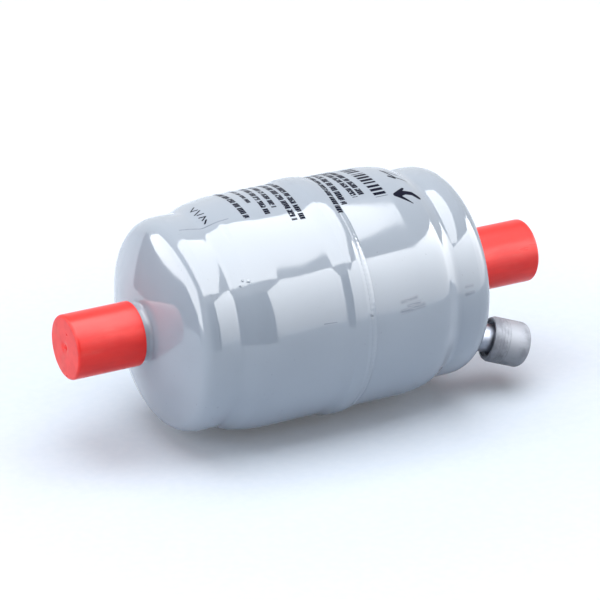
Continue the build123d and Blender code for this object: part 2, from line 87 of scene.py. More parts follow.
# ------------------------------------------------------------------ shader graphs
class Graph:
    """Adds and joins the shader nodes of one tree."""

    def __init__(self, tree: bpy.types.NodeTree) -> None:
        """Starts from an empty tree."""
        self.tree = tree
        tree.nodes.clear()

    def add(self, kind: str, inputs: dict[Any, Any] | None = None, **settings: Any) -> bpy.types.Node:
        """Adds a node.

        Args:
            kind: Blender's name for the node, without its ShaderNode prefix.
            inputs: Sockets by name or number, each given a value or another node's output.
            settings: Attributes of the node.

        Returns:
            The node.
        """
        node = self.tree.nodes.new("ShaderNode" + kind)
        for key, value in settings.items():
            setattr(node, key, value)
        for key, value in (inputs or {}).items():
            self.feed(node.inputs[key], value)
        return node

    def feed(self, socket: bpy.types.NodeSocket, value: Any) -> None:
        """Links an output to a socket, or sets the socket's own value.

        Args:
            socket: Input that gets the value.
            value: A number, a colour or another node's output.
        """
        if isinstance(value, bpy.types.NodeSocket):
            self.tree.links.new(value, socket)
        elif socket.type == "RGBA" and len(value) == 3:
            socket.default_value = (*value, 1.0)
        else:
            socket.default_value = value

    def math(self, operation: str, *terms: Any) -> bpy.types.NodeSocket:
        """Result of a Math node on its terms."""
        return self.add("Math", dict(enumerate(terms)), operation=operation).outputs[0]

    def plus(self, first: Any, second: Any) -> bpy.types.NodeSocket:
        """Sum of two values."""
        return self.math("ADD", first, second)

    def minus(self, first: Any, second: Any) -> bpy.types.NodeSocket:
        """First value less the second."""
        return self.math("SUBTRACT", first, second)

    def times(self, first: Any, second: Any) -> bpy.types.NodeSocket:
        """Product of two values."""
        return self.math("MULTIPLY", first, second)

    def over(self, first: Any, second: Any) -> bpy.types.NodeSocket:
        """First value divided by the second."""
        return self.math("DIVIDE", first, second)

    def total(self, terms: Iterable[Any], operation: str = "ADD") -> bpy.types.NodeSocket:
        """Terms joined one after another by one operation.

        Args:
            terms: Values to join.
            operation: Operation of the Math nodes that join them.

        Returns:
            The joined value.
        """
        result, *rest = terms
        for term in rest:
            result = self.math(operation, result, term)
        return result

    def remap(self, value: Any, low: float, high: float, to_low: float = 0.0, to_high: float = 1.0) -> Any:
        """Value carried smoothly from one span to another, and held at its ends.

        Args:
            value: Value to carry.
            low: Start of its span.
            high: End of its span.
            to_low: What the start becomes.
            to_high: What the end becomes.

        Returns:
            The carried value.
        """
        names = ("Value", "From Min", "From Max", "To Min", "To Max")
        terms = dict(zip(names, (value, low, high, to_low, to_high)))
        return self.add("MapRange", terms, interpolation_type="SMOOTHSTEP").outputs[0]

    def band(self, value: Any, low: float, high: float, soft: float) -> Any:
        """One between two limits, zero outside them, with soft edges."""
        rise = self.remap(value, low - soft, low + soft)
        return self.times(rise, self.remap(value, high - soft, high + soft, 1.0, 0.0))

    def blend(self, share: Any, first: Any, second: Any) -> bpy.types.NodeSocket:
        """Colour between two others.

        Args:
            share: 0 for the first colour, 1 for the second.
            first: One colour.
            second: The other.

        Returns:
            The colour.
        """
        node = self.add("Mix", data_type="RGBA")
        for socket, value in zip((node.inputs[0], node.inputs[6], node.inputs[7]), (share, first, second)):
            self.feed(socket, value)
        return node.outputs[2]

    def noise(self, where: Any, scale: float, detail: float = 3.0, rough: float = 0.55) -> Any:
        """Cloudy noise from 0 to 1."""
        terms = {"Vector": where, "Scale": scale, "Detail": detail, "Roughness": rough}
        return self.add("TexNoise", terms).outputs[0]

    def grain(self, where: Any, scale: tuple[float, float, float], detail: float = 3.0) -> Any:
        """Noise with its own scale along each direction, so that it runs in streaks."""
        return self.noise(self.add("Mapping", {0: where, 3: scale}).outputs[0], 1.0, detail)

    def place(self) -> bpy.types.NodeSocket:
        """Position on the piece, in metres."""
        return self.add("TexCoord").outputs["Object"]

    def split(self, vector: Any) -> list[bpy.types.NodeSocket]:
        """The three parts of a vector."""
        return list(self.add("SeparateXYZ", {0: vector}).outputs)

    def join(self, x: Any, y: Any, z: Any = 0.0) -> bpy.types.NodeSocket:
        """A vector from three parts."""
        return self.add("CombineXYZ", {0: x, 1: y, 2: z}).outputs[0]

    def bump(self, height: Any, distance: float, under: Any = None) -> Any:
        """Normal tilted by a height, in metres of relief.

        Args:
            height: Pattern whose highest value is about 1.
            distance: Relief in metres where the pattern is 1.
            under: Normal that is tilted; if None, the surface's own.

        Returns:
            The normal.
        """
        terms = {"Height": height, "Distance": distance, "Strength": 1.0}
        if under is not None:
            terms["Normal"] = under
        return self.add("Bump", terms).outputs[0]

    def seen(self) -> bpy.types.NodeSocket:
        """One for camera, mirrored and transmitted rays, zero for the others.

        Returns:
            The mask.
        """
        path = self.add("LightPath")
        rays = ("Is Camera Ray", "Is Glossy Ray", "Is Transmission Ray")
        return self.total([path.outputs[ray] for ray in rays], "MAXIMUM")

    def finish(self, shader: bpy.types.Node) -> None:
        """Ends the tree in its output."""
        kind = "OutputWorld" if shader.bl_idname == "ShaderNodeBackground" else "OutputMaterial"
        self.add(kind, {0: shader.outputs[0]})

    def principled(self, terms: dict[str, Any]) -> None:
        """Ends the tree in a principled surface."""
        self.finish(self.add("BsdfPrincipled", terms))


# ------------------------------------------------------------------ finishes
@dataclass(frozen=True)
class Finish(ABC):
    """A named surface finish, made once and shared."""

    name: str

    def material(self) -> bpy.types.Material:
        """The finish as a Blender material, which is made at its first use.

        Returns:
            The material.
        """
        if self.name not in MADE:
            MADE[self.name] = bpy.data.materials.new(self.name)
            MADE[self.name].use_nodes = True
            self.compose(Graph(MADE[self.name].node_tree))
        return MADE[self.name]

    @abstractmethod
    def compose(self, g: Graph) -> None:
        """Builds the finish's nodes."""


@dataclass(frozen=True)
class PrintRow:
    """A row of printed blocks that runs round the shell from its top towards its front.

    Args:
        start: Distance along the flow axis in mm, and bearing in degrees, where the row starts.
        end: The same where it ends.
        height: Height of the row in mm.
        cell: Width of one block in mm.
        word: Mean length of a run of blocks in mm.
        ink: Share of the cells in a block that are inked.
        slit: Share of a block's width that is bare.
    """

    start: tuple[float, float]
    end: tuple[float, float]
    height: float = 1.7
    cell: float = 1.0
    word: float = 4.2
    ink: float = 0.96
    slit: float = 0.08


@dataclass(frozen=True)
class Stroke:
    """A straight mark on the shell, round at its ends.

    Args:
        start: Distance along the flow axis in mm, and bearing in degrees.
        end: The same at its other end.
        half: Half its width at its start, in mm.
        half_end: Half its width at its end, in mm.
        soft: Width of its soft edge in mm.
    """

    start: tuple[float, float]
    end: tuple[float, float]
    half: float = 0.3
    half_end: float = 0.3
    soft: float = 0.08


@dataclass(frozen=True)
class GlossEnamel(Finish):
    """Glossy grey enamel with orange peel, specks, rubs, droplets and dark print."""

    colour: Colour = (0.375, 0.42, 0.485)
    cloud: Colour = (0.345, 0.39, 0.455)
    ink: Colour = (0.006, 0.007, 0.017)
    rub: Colour = (0.11, 0.125, 0.16)
    speck: Colour = (0.2, 0.21, 0.22)
    ior: float = 1.6
    radius: float = 38.1
    rows: tuple[PrintRow, ...] = ()
    marks: tuple[Stroke, ...] = ()
    rubs: tuple[Stroke, ...] = ()
    drops: tuple[Stroke, ...] = ()

    def unrolled(self, g: Graph) -> tuple[Any, Any]:
        """Distance along the axis, and distance round the shell from +Y towards +Z, both in mm."""
        x, y, z = g.split(g.place())
        return g.over(x, MM), g.times(g.math("ARCTAN2", z, y), self.radius)

    def flat(self, spot: tuple[float, float]) -> tuple[float, float]:
        """A spot's unrolled place in mm."""
        return spot[0], radians(spot[1]) * self.radius

    def row_mask(self, g: Graph, row: PrintRow, x: Any, way: Any) -> Any:
        """Ink of one row: blocks with random holes, in runs with gaps between them.

        Args:
            g: The material's graph.
            row: The row.
            x: Distance along the flow axis in mm.
            way: Distance round the shell in mm.

        Returns:
            One on ink, zero beside it.
        """
        (x0, w0), (x1, w1) = self.flat(row.start), self.flat(row.end)
        lean = (x1 - x0) / (w1 - w0)
        middle = g.times(g.minus(way, w0), lean)
        across = g.over(g.minus(g.minus(x, x0), middle), row.height)
        seed = x0 * 7.13 + w1
        block = g.over(g.plus(way, seed), row.cell)
        hole = g.join(g.math("FLOOR", g.times(block, 2.0)), g.math("FLOOR", g.times(across, 3.0)), seed)
        fleck = g.add("TexWhiteNoise", {"Vector": hole}, noise_dimensions="3D").outputs[0]
        run = g.over(g.plus(way, seed * 1.7), row.word)
        shift = g.add("TexWhiteNoise", {"W": g.math("FLOOR", run)}, noise_dimensions="1D").outputs[0]
        phase = g.minus(g.math("FRACT", run), g.times(shift, 0.5))
        words = g.math("GREATER_THAN", g.math("ABSOLUTE", g.minus(phase, 0.2)), 0.07)
        slits = g.math("LESS_THAN", g.math("FRACT", block), 1 - row.slit)
        return g.total((
            g.math("LESS_THAN", fleck, row.ink), words, slits,
            g.band(across, -0.5, 0.5, 0.05), g.band(way, w0, w1, 0.1),
        ), "MULTIPLY")

    def stroke_mask(self, g: Graph, stroke: Stroke, x: Any, way: Any) -> Any:
        """One inside a stroke: the distance to its middle line against its half width there.

        Args:
            g: The material's graph.
            stroke: The stroke.
            x: Distance along the flow axis in mm.
            way: Distance round the shell in mm.

        Returns:
            One inside the stroke, zero beside it.
        """
        start, end = np.array(self.flat(stroke.start)), np.array(self.flat(stroke.end))
        run = end - start
        length = float(np.linalg.norm(run)) or 1e-3
        ux, uw = (float(v) / length for v in run)
        dx, dw = g.minus(x, float(start[0])), g.minus(way, float(start[1]))
        along = g.plus(g.times(dx, ux), g.times(dw, uw))
        along = g.math("MINIMUM", g.math("MAXIMUM", along, 0.0), length)
        off_x = g.minus(dx, g.times(along, ux))
        off_w = g.minus(dw, g.times(along, uw))
        away = g.math("SQRT", g.plus(g.times(off_x, off_x), g.times(off_w, off_w)))
        half = g.math("MULTIPLY_ADD", along, (stroke.half_end - stroke.half) / length, stroke.half)
        return g.remap(g.minus(away, half), -stroke.soft, stroke.soft, 1.0, 0.0)

    def strokes(self, g: Graph, marks: Sequence[Stroke], x: Any, way: Any) -> Any:
        """One inside any of the strokes."""
        return g.total([self.stroke_mask(g, m, x, way) for m in marks], "MAXIMUM")

    def compose(self, g: Graph) -> None:
        """Builds the enamel's nodes.

        Args:
            g: The material's graph.
        """
        where = g.place()
        clouds = g.remap(g.noise(where, 22.0, 2.0), 0.35, 0.7)
        colour = g.blend(clouds, self.colour, self.cloud)
        specks = g.remap(g.noise(where, 900.0, 1.0), 0.74, 0.8)
        colour = g.blend(g.times(specks, 0.25), colour, self.speck)
        rough = g.remap(g.noise(where, 60.0, 3.0), 0.3, 0.8, 0.055, 0.1)
        normal = g.bump(g.noise(where, 420.0, 1.0, 0.4), 0.000003)
        normal = g.bump(g.noise(where, 45.0, 1.0, 0.4), 0.00004, under=normal)
        x, way = self.unrolled(g)
        if self.drops:
            normal = g.bump(self.strokes(g, self.drops, x, way), 0.00025, under=normal)
        if self.rubs:
            torn = g.noise(g.join(g.times(x, 0.22), g.times(way, 2.2)), 1.0, 3.0)
            rub = g.times(self.strokes(g, self.rubs, x, way), g.remap(torn, 0.3, 0.6, 0.15, 0.7))
            colour = g.blend(rub, colour, self.rub)
            rough = g.plus(rough, g.times(rub, 0.2))
        if self.rows:
            ink = g.total([self.row_mask(g, r, x, way) for r in self.rows], "MAXIMUM")
            ink = g.math("MAXIMUM", ink, self.strokes(g, self.marks, x, way))
            colour = g.blend(ink, colour, self.ink)
            rough = g.plus(rough, g.times(ink, 0.3))
        terms = {"Base Color": colour, "Roughness": rough, "IOR": self.ior, "Normal": normal}
        if self.rows:
            terms["Specular IOR Level"] = g.math("MULTIPLY_ADD", ink, -0.48, 0.5)
        g.principled(terms)


@dataclass(frozen=True)
class PaintedTube(Finish):
    """Copper-plated fitting that is enamelled from its dome to the edge of its dust cap.

    Args:
        edge: Where the paint ends along the flow axis, in mm.
        side: +1 where the paint lies towards +X of its edge, -1 where it lies towards -X.
        paint: Colour of the enamel.
        copper: Clean copper.
        tarnish: Tarnished copper.
        wander: How far the edge of the paint wanders, in mm.
    """

    edge: float = 20.0
    side: int = 1
    paint: Colour = (0.375, 0.42, 0.485)
    copper: Colour = (0.83, 0.44, 0.30)
    tarnish: Colour = (0.55, 0.25, 0.16)
    wander: float = 1.4

    def compose(self, g: Graph) -> None:
        """Builds the nodes of copper, paint and the ragged edge between them.

        Args:
            g: The material's graph.
        """
        where = g.place()
        x = g.over(g.split(where)[0], MM)
        wander = g.times(g.minus(g.noise(where, 160.0), 0.5), self.wander)
        past = g.times(g.minus(g.plus(x, wander), self.edge), float(self.side))
        painted = g.remap(past, -0.06, 0.06)
        tarnish = g.remap(g.noise(where, 90.0, 4.0), 0.35, 0.75)
        copper = g.blend(tarnish, self.copper, self.tarnish)
        drawn = g.grain(where, (40.0, 900.0, 900.0), 2.0)
        rough = g.plus(g.remap(drawn, 0.3, 0.7, 0.22, 0.4), g.times(painted, -0.2))
        terms = {
            "Base Color": g.blend(painted, copper, self.paint),
            "Metallic": g.minus(1.0, painted),
            "Roughness": rough,
            "IOR": 1.6,
            "Normal": g.bump(g.total((drawn, painted)), 0.00002),
        }
        g.principled(terms)


@dataclass(frozen=True)
class SoftPlastic(Finish):
    """Soft moulded polyethylene: waxy sheen, faint flow marks and a little light through it."""

    colour: Colour = (0.93, 0.028, 0.02)
    deep: Colour = (0.82, 0.018, 0.014)
    scuff: Colour = (0.95, 0.45, 0.38)

    def compose(self, g: Graph) -> None:
        """Builds the plastic's nodes.

        Args:
            g: The material's graph.
        """
        where = g.place()
        flow = g.grain(where, (60.0, 260.0, 260.0))
        grain = g.noise(where, 1500.0, 2.0)
        scuffs = g.remap(g.grain(where, (45.0, 160.0, 160.0), 4.0), 0.5, 0.8)
        colour = g.blend(g.remap(flow, 0.3, 0.75), self.colour, self.deep)
        colour = g.blend(g.times(scuffs, 0.12), colour, self.scuff)
        normal = g.bump(g.total((grain, g.times(flow, 2.0))), 0.000006)
        terms = {
            "Base Color": colour,
            "Roughness": g.remap(flow, 0.25, 0.8, 0.27, 0.36),
            "IOR": 1.42,
            "Specular IOR Level": 0.42,
            "Subsurface Weight": 0.2,
            "Subsurface Radius": (0.004, 0.001, 0.0006),
            "Subsurface Scale": 0.5,
            "Normal": normal,
        }
        g.principled(terms)


@dataclass(frozen=True)
class TurnedMetal(Finish):
    """Lathe-turned metal: fine rings square to an axis, smears of dirt and bright handling marks.

    Args:
        colour: Clean metal.
        dull: Metal under its film of dirt.
        axis: Direction of the turning axis.
        pitch: Distance between the tool's rings, in mm.
        rough: Lowest and highest roughness.
        relief: Depth of the rings, in mm.
        bare: Share of the metal that is free of its dull plating.
    """

    colour: Colour = (0.25, 0.265, 0.3)
    dull: Colour = (0.15, 0.158, 0.185)
    axis: tuple[float, float, float] = (1.0, 0.0, 0.0)
    pitch: float = 0.22
    rough: tuple[float, float] = (0.52, 0.68)
    relief: float = 0.004
    bare: float = 1.0

    def compose(self, g: Graph) -> None:
        """Builds the metal's nodes.

        Args:
            g: The material's graph.
        """
        where = g.place()
        along = g.add("VectorMath", {0: where, 1: self.axis}, operation="DOT_PRODUCT").outputs["Value"]
        along = g.over(along, MM * self.pitch)
        jitter = g.times(g.noise(where, 120.0, 2.0), 0.8)
        rings = g.noise(g.join(g.plus(along, jitter), 0.0), 1.0, 2.0, 0.6)
        film = g.remap(g.noise(where, 170.0, 4.0), 0.38, 0.72)
        nicks = g.remap(g.noise(where, 700.0, 3.0), 0.62, 0.72)
        colour = g.blend(film, self.colour, self.dull)
        rough = g.plus(g.remap(film, 0.0, 1.0, *self.rough), g.times(nicks, 0.12))
        height = g.total((rings, g.times(nicks, -0.5)))
        terms = {
            "Base Color": colour,
            "Metallic": self.bare,
            "Roughness": rough,
            "Normal": g.bump(height, self.relief * MM),
        }
        g.principled(terms)


@dataclass(frozen=True)
class SheetSteel(Finish):
    """Rolled or drawn bare steel with a directional grain and blotches of oil."""

    colour: Colour = (0.52, 0.52, 0.53)
    stain: Colour = (0.36, 0.34, 0.32)
    grain: tuple[float, float, float] = (900.0, 60.0, 60.0)
    rough: tuple[float, float] = (0.25, 0.5)

    def compose(self, g: Graph) -> None:
        """Builds the steel's nodes.

        Args:
            g: The material's graph.
        """
        where = g.place()
        grain = g.grain(where, self.grain)
        blotch = g.remap(g.noise(where, 70.0, 4.0), 0.4, 0.7)
        terms = {
            "Base Color": g.blend(blotch, self.colour, self.stain),
            "Metallic": 1.0,
            "Roughness": g.remap(grain, 0.25, 0.75, *self.rough),
            "Normal": g.bump(grain, 0.000008),
        }
        g.principled(terms)


@dataclass(frozen=True)
class PorousBlock(Finish):
    """Moulded beads of desiccant, bound together: round grains with painted shade in the pores between them.
    """

    colour: Colour = (0.66, 0.58, 0.46)
    pale: Colour = (0.78, 0.72, 0.6)
    # Painted shade: the colour of the pores between the beads.
    pore_shade: Colour = (0.2, 0.16, 0.12)
    bead: float = 1.1

    def compose(self, g: Graph) -> None:
        """Builds the block's nodes.

        Args:
            g: The material's graph.
        """
        where = g.place()
        cells = g.add("TexVoronoi", {"Vector": where, "Scale": 1 / (self.bead * MM)})
        hollow_and_shade = g.remap(cells.outputs["Distance"], 0.25, 0.75)
        tint = g.remap(g.noise(where, 300.0, 3.0), 0.3, 0.7)
        colour = g.blend(tint, self.colour, self.pale)
        terms = {
            # The gaps between the beads take the pore colour as painted shade; the same mask also roughens
            # and sinks them.
            "Base Color": g.blend(hollow_and_shade, colour, self.pore_shade),
            "Roughness": g.remap(hollow_and_shade, 0.0, 1.0, 0.75, 0.95),
            "Normal": g.bump(g.minus(1.0, hollow_and_shade), 0.0002),
        }
        g.principled(terms)


@dataclass(frozen=True)
class Gauze(Finish):
    """Plain-woven wire: two sets of crossing wires with painted shade in the openings between them."""

    colour: Colour = (0.78, 0.6, 0.28)
    # Painted shade: the near-black colour of the openings between the wires.
    opening_shade: Colour = (0.02, 0.018, 0.015)
    pitch: float = 0.35

    def compose(self, g: Graph) -> None:
        """Builds the gauze's nodes: wires are the crests of two sine waves across Y and Z.

        Args:
            g: The material's graph.
        """
        _, y, z = g.split(g.place())
        waves = [g.math("SINE", g.times(part, 2 * pi / (self.pitch * MM))) for part in (y, z)]
        over = g.total(waves, "MAXIMUM")
        wire = g.remap(over, 0.1, 0.5)
        terms = {
            # The openings between the wires are painted near-black as shade.
            "Base Color": g.blend(wire, self.opening_shade, self.colour),
            "Metallic": wire,
            "Roughness": g.remap(over, 0.0, 1.0, 0.7, 0.3),
            "Normal": g.bump(over, 0.00005),
        }
        g.principled(terms)


@dataclass(frozen=True)
class SoftSeal(Finish):
    """Felt, rubber or PTFE: a matt body colour with fibres or moulding grain."""

    colour: Colour = (0.03, 0.03, 0.032)
    tint: Colour = (0.06, 0.06, 0.062)
    grain: float = 900.0
    relief: float = 0.02
    rough: tuple[float, float] = (0.5, 0.75)

    def compose(self, g: Graph) -> None:
        """Builds the seal's nodes.

        Args:
            g: The material's graph.
        """
        where = g.place()
        grain = g.noise(where, self.grain, 4.0)
        terms = {
            "Base Color": g.blend(g.remap(grain, 0.3, 0.7), self.colour, self.tint),
            "Roughness": g.remap(g.noise(where, self.grain / 5), 0.3, 0.7, *self.rough),
            "Normal": g.bump(grain, self.relief * MM),
        }
        g.principled(terms)


# ------------------------------------------------------------------ surfaces
@dataclass(frozen=True)
class Axis:
    """A turning axis: where it starts, its direction, and two directions square to it."""

    origin: Points
    along: Points
    first: Points
    second: Points

    @classmethod
    def through(cls, origin: Sequence[float], along: Sequence[float], first: Sequence[float]) -> "Axis":
        """An axis from a start and two rough directions, made square to each other.

        Args:
            origin: Where the axis starts, in mm.
            along: Its direction.
            first: Direction from which turns are counted.

        Returns:
            The axis.
        """
        a = np.array(along, float) / np.linalg.norm(along)
        f = np.array(first, float) - np.dot(first, a) * a
        f /= np.linalg.norm(f)
        return cls(np.array(origin, float), a, f, np.cross(a, f))

    def surface(self, depth: Points, radius: Points, turn: Points) -> Points:
        """Points at a depth along the axis, a radius from it and an angle round it."""
        out = np.cos(turn)[..., None] * self.first + np.sin(turn)[..., None] * self.second
        return self.origin + depth[..., None] * self.along + radius[..., None] * out


def arc(centre: Sequence[float], radius: float, start: float, end: float, step: float = 0.25) -> Points:
    """Points on a circular arc, the centre plus the radius at evenly spaced bearings in degrees.

    Args:
        centre: Centre as depth and radius in mm.
        radius: The arc's own radius in mm.
        start: Bearing of its start.
        end: Bearing of its end.
        step: Rough distance between points in mm.

    Returns:
        Rows of depth and radius.
    """
    length = abs(radius) * abs(radians(end - start))
    turn = np.radians(np.linspace(start, end, max(5, int(length / step) + 2)))
    return np.array(centre) + abs(radius) * np.stack([np.cos(turn), np.sin(turn)], 1)


def line(*corners: Sequence[float], step: float = 1.2) -> Points:
    """Points evenly spaced along straight runs between corners.

    Args:
        *corners: Corners as depth and radius in mm.
        step: Rough distance between points in mm.

    Returns:
        Rows of depth and radius.
    """
    runs = []
    for a, b in zip(corners, corners[1:]):
        a, b = np.array(a, float), np.array(b, float)
        count = max(1, int(np.linalg.norm(b - a) / step))
        runs.append(a + (b - a) * np.linspace(0, 1, count + 1)[:, None])
    return chain(*runs)


def chain(*runs: Points) -> Points:
    """Runs of points joined end to end, without the doubled points at their joints.

    Args:
        *runs: Rows of depth and radius.

    Returns:
        The joined rows.
    """
    points = np.vstack(runs)
    keep = np.r_[True, np.linalg.norm(np.diff(points, axis=0), axis=1) > SAME_POINT]
    return points[keep]


def make_mesh(name: str, points: Points, faces: Points, parts: Points | None = None) -> bpy.types.Object:
    """Puts points and faces of three or four corners into a new object.

    Args:
        name: Name of the piece.
        points: Corners in millimetres.
        faces: Corner numbers, four to a row; a triangle has -1 for its fourth.
        parts: Material number of each face.

    Returns:
        The object, smooth except at sharp edges.
    """
    mesh = bpy.data.meshes.new(name)
    mesh.from_pydata(points * MM, [], [tuple(f[f >= 0]) for f in faces])
    mesh.polygons.foreach_set("use_smooth", np.ones(len(faces), bool))
    if parts is not None:
        mesh.polygons.foreach_set("material_index", parts.astype(np.int32))
    mesh.set_sharp_from_angle(angle=radians(SHARP_ANGLE))
    mesh.update()
    made = bpy.data.objects.new(name, mesh)
    bpy.context.scene.collection.objects.link(made)
    return made


Offset = Callable[[Points, Points, Points], Points]


def revolve(
    name: str,
    axis: Axis,
    profile: Points,
    closed: bool = True,
    segments: int = 192,
    offset: Offset | None = None,
    inner_from: int | None = None,
) -> bpy.types.Object:
    """Turns a profile round an axis.

    A point of the surface lies at the profile's depth along the axis, and at its radius plus the
    offset in the direction of the turn. A profile point on the axis becomes one pole.

    Args:
        name: Name of the piece.
        axis: The turning axis.
        profile: Rows of depth and radius, with the material on the right of its direction.
        closed: Whether the profile's last point joins its first.
        segments: Steps round the axis.
        offset: Extra radius from depth, radius and turn.
        inner_from: Row of the profile from which faces take the second material.

    Returns:
        The object.
    """
    turn = np.linspace(0, 2 * pi, segments, endpoint=False)
    depth, angle = np.meshgrid(profile[:, 0], turn, indexing="ij")
    radius = np.repeat(profile[:, 1:2], segments, 1)
    if offset is not None:
        radius = radius + offset(depth, radius, angle)
    rows = len(profile)
    ring = np.arange(rows)[:, None] * segments + np.arange(segments)
    pole = profile[:, 1] < POLE_RADIUS
    ring[pole] = ring[pole, :1]
    points = axis.surface(depth, radius, angle).reshape(-1, 3)
    upper = np.roll(ring, -1, 0) if closed else ring[1:]
    lower = ring if closed else ring[:-1]
    quads = np.stack([lower, np.roll(lower, -1, 1), np.roll(upper, -1, 1), upper], -1)
    parts = np.repeat(np.arange(len(quads))[:, None] >= (inner_from or rows), segments, 1)
    quads, parts = quads.reshape(-1, 4), parts.reshape(-1)
    same_low, same_high = quads[:, 0] == quads[:, 1], quads[:, 2] == quads[:, 3]
    quads, parts = quads[~(same_low & same_high)], parts[~(same_low & same_high)]
    same_low, same_high = quads[:, 0] == quads[:, 1], quads[:, 2] == quads[:, 3]
    quads[same_low] = np.c_[quads[same_low][:, 1:], -np.ones(same_low.sum(), int)]
    quads[same_high, 3] = -1
    if volume(points, quads) < 0:
        corners = (quads >= 0).sum(1)
        quads[corners == 4] = quads[corners == 4][:, ::-1]
        quads[corners == 3, :3] = quads[corners == 3, 2::-1]
    used = np.unique(quads[quads >= 0])
    renumber = np.full(len(points), -1)
    renumber[used] = np.arange(len(used))
    quads = np.where(quads >= 0, renumber[quads], -1)
    return make_mesh(name, points[used], quads, parts)


def volume(points: Points, faces: Points) -> float:
    """Signed volume inside faces: a sixth of each one's diagonals crossed, dotted with its mean corner.

    Args:
        points: Corners in mm.
        faces: Corner numbers, four to a row; a triangle has -1 for its fourth.

    Returns:
        The volume in cubic mm, negative where the faces point inwards.
    """
    last = np.where(faces[:, 3] >= 0, faces[:, 3], faces[:, 2])
    a, b, c, d = (points[faces[:, 0]], points[faces[:, 1]], points[faces[:, 2]], points[last])
    return float((np.cross(c - a, d - b) * (a + b + c + d) / 4).sum() / 6)


def waviness(seed: int, depth_scale: float, height: float, count: int = 6) -> Offset:
    """A smooth random offset: a sum of waves round the axis and along it.

    Args:
        seed: Start of the random numbers.
        depth_scale: Length of the slowest wave along the axis, in mm.
        height: Largest height of one wave, in mm.
        count: Number of waves.

    Returns:
        A function of depth, radius and turn.
    """
    rng = np.random.default_rng(seed)
    laps = rng.integers(1, 6, count)
    speed = rng.uniform(0.5, 2.0, count) * 2 * pi / depth_scale
    phase = rng.uniform(0, 2 * pi, (2, count))
    size = height * rng.uniform(0.3, 1.0, count) / count
    calm_radius, calm_radius_run = 12, 15
    calm_depth, calm_depth_run = 54, 12

    def offset(depth: Points, radius: Points, turn: Points) -> Points:
        """Sum of size times the sine of depth and the cosine of turn, fading out near axis and rim.

        Args:
            depth: Depth along the axis in mm.
            radius: Radius in mm.
            turn: Angle round the axis in radians.

        Returns:
            Extra radius in mm.
        """
        waves = [s * np.sin(v * depth + p) * np.cos(n * turn + q)
                 for s, v, n, p, q in zip(size, speed, laps, *phase)]
        outer = np.clip((radius - calm_radius) / calm_radius_run, 0, 1)
        return np.sum(waves, 0) * (outer * np.clip((calm_depth - depth) / calm_depth_run, 0, 1))

    return offset


def take(piece: bpy.types.Object, body: Body, slot: Slot, finishes: Sequence[Finish], *nodes: str) -> None:
    """Dresses a new piece, seats it on its body and lets it stand for its CAD nodes.

    Args:
        piece: The new piece.
        body: Body that it rides on.
        slot: Not used.
        finishes: Its materials, in the order of its faces' numbers.
        *nodes: CAD nodes that it stands for.
    """
    for finish in finishes:
        piece.data.materials.append(finish.material())
    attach(piece, body.value)
    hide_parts(*nodes)
    log.info("%s: %d faces, stands for %s", piece.name, len(piece.data.polygons), ", ".join(nodes))


def dress(node: str, finish: Finish) -> None:
    """Gives a carried-over CAD node its finish.

    Args:
        node: Name of the CAD node.
        finish: Its finish.
    """
    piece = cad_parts[node]
    piece.data.materials.clear()
    piece.data.materials.append(finish.material())
    log.info("%s: CAD node with %s", node, finish.name)


# ------------------------------------------------------------------ shell
@dataclass(frozen=True)
class Crease:
    """A slight swelling on a cup's taper, bell-shaped in depth, in mm.

    Args:
        depth: Depth of its crest.
        before: Its width before the crest.
        after: Its width after the crest.
        height: Its height.
    """

    depth: float
    before: float
    after: float
    height: float


@dataclass(frozen=True)
class Dent:
    """A small dent, bell-shaped in depth and round the cup.

    Args:
        depth: Depth of its middle in mm.
        bearing: Bearing of its middle in degrees.
        length: Its width along the axis in mm.
        width: Its width round the axis in degrees.
        sink: How deep it is, in mm.
    """

    depth: float
    bearing: float
    length: float
    width: float
    sink: float


@dataclass(frozen=True)
class CupForm:
    """Shape of the groove behind a cup's shoulder band and of the taper after it, in mm.

    Args:
        groove_step: Depth of the groove under the band.
        groove_run: Length of the fall into the groove.
        groove_fillet: Radius of the groove's bottom.
        taper_run: Length of the climb to the cylinder.
        crease: Swelling on the taper.
    """

    groove_step: float
    groove_run: float
    groove_fillet: float
    taper_run: float
    crease: Crease


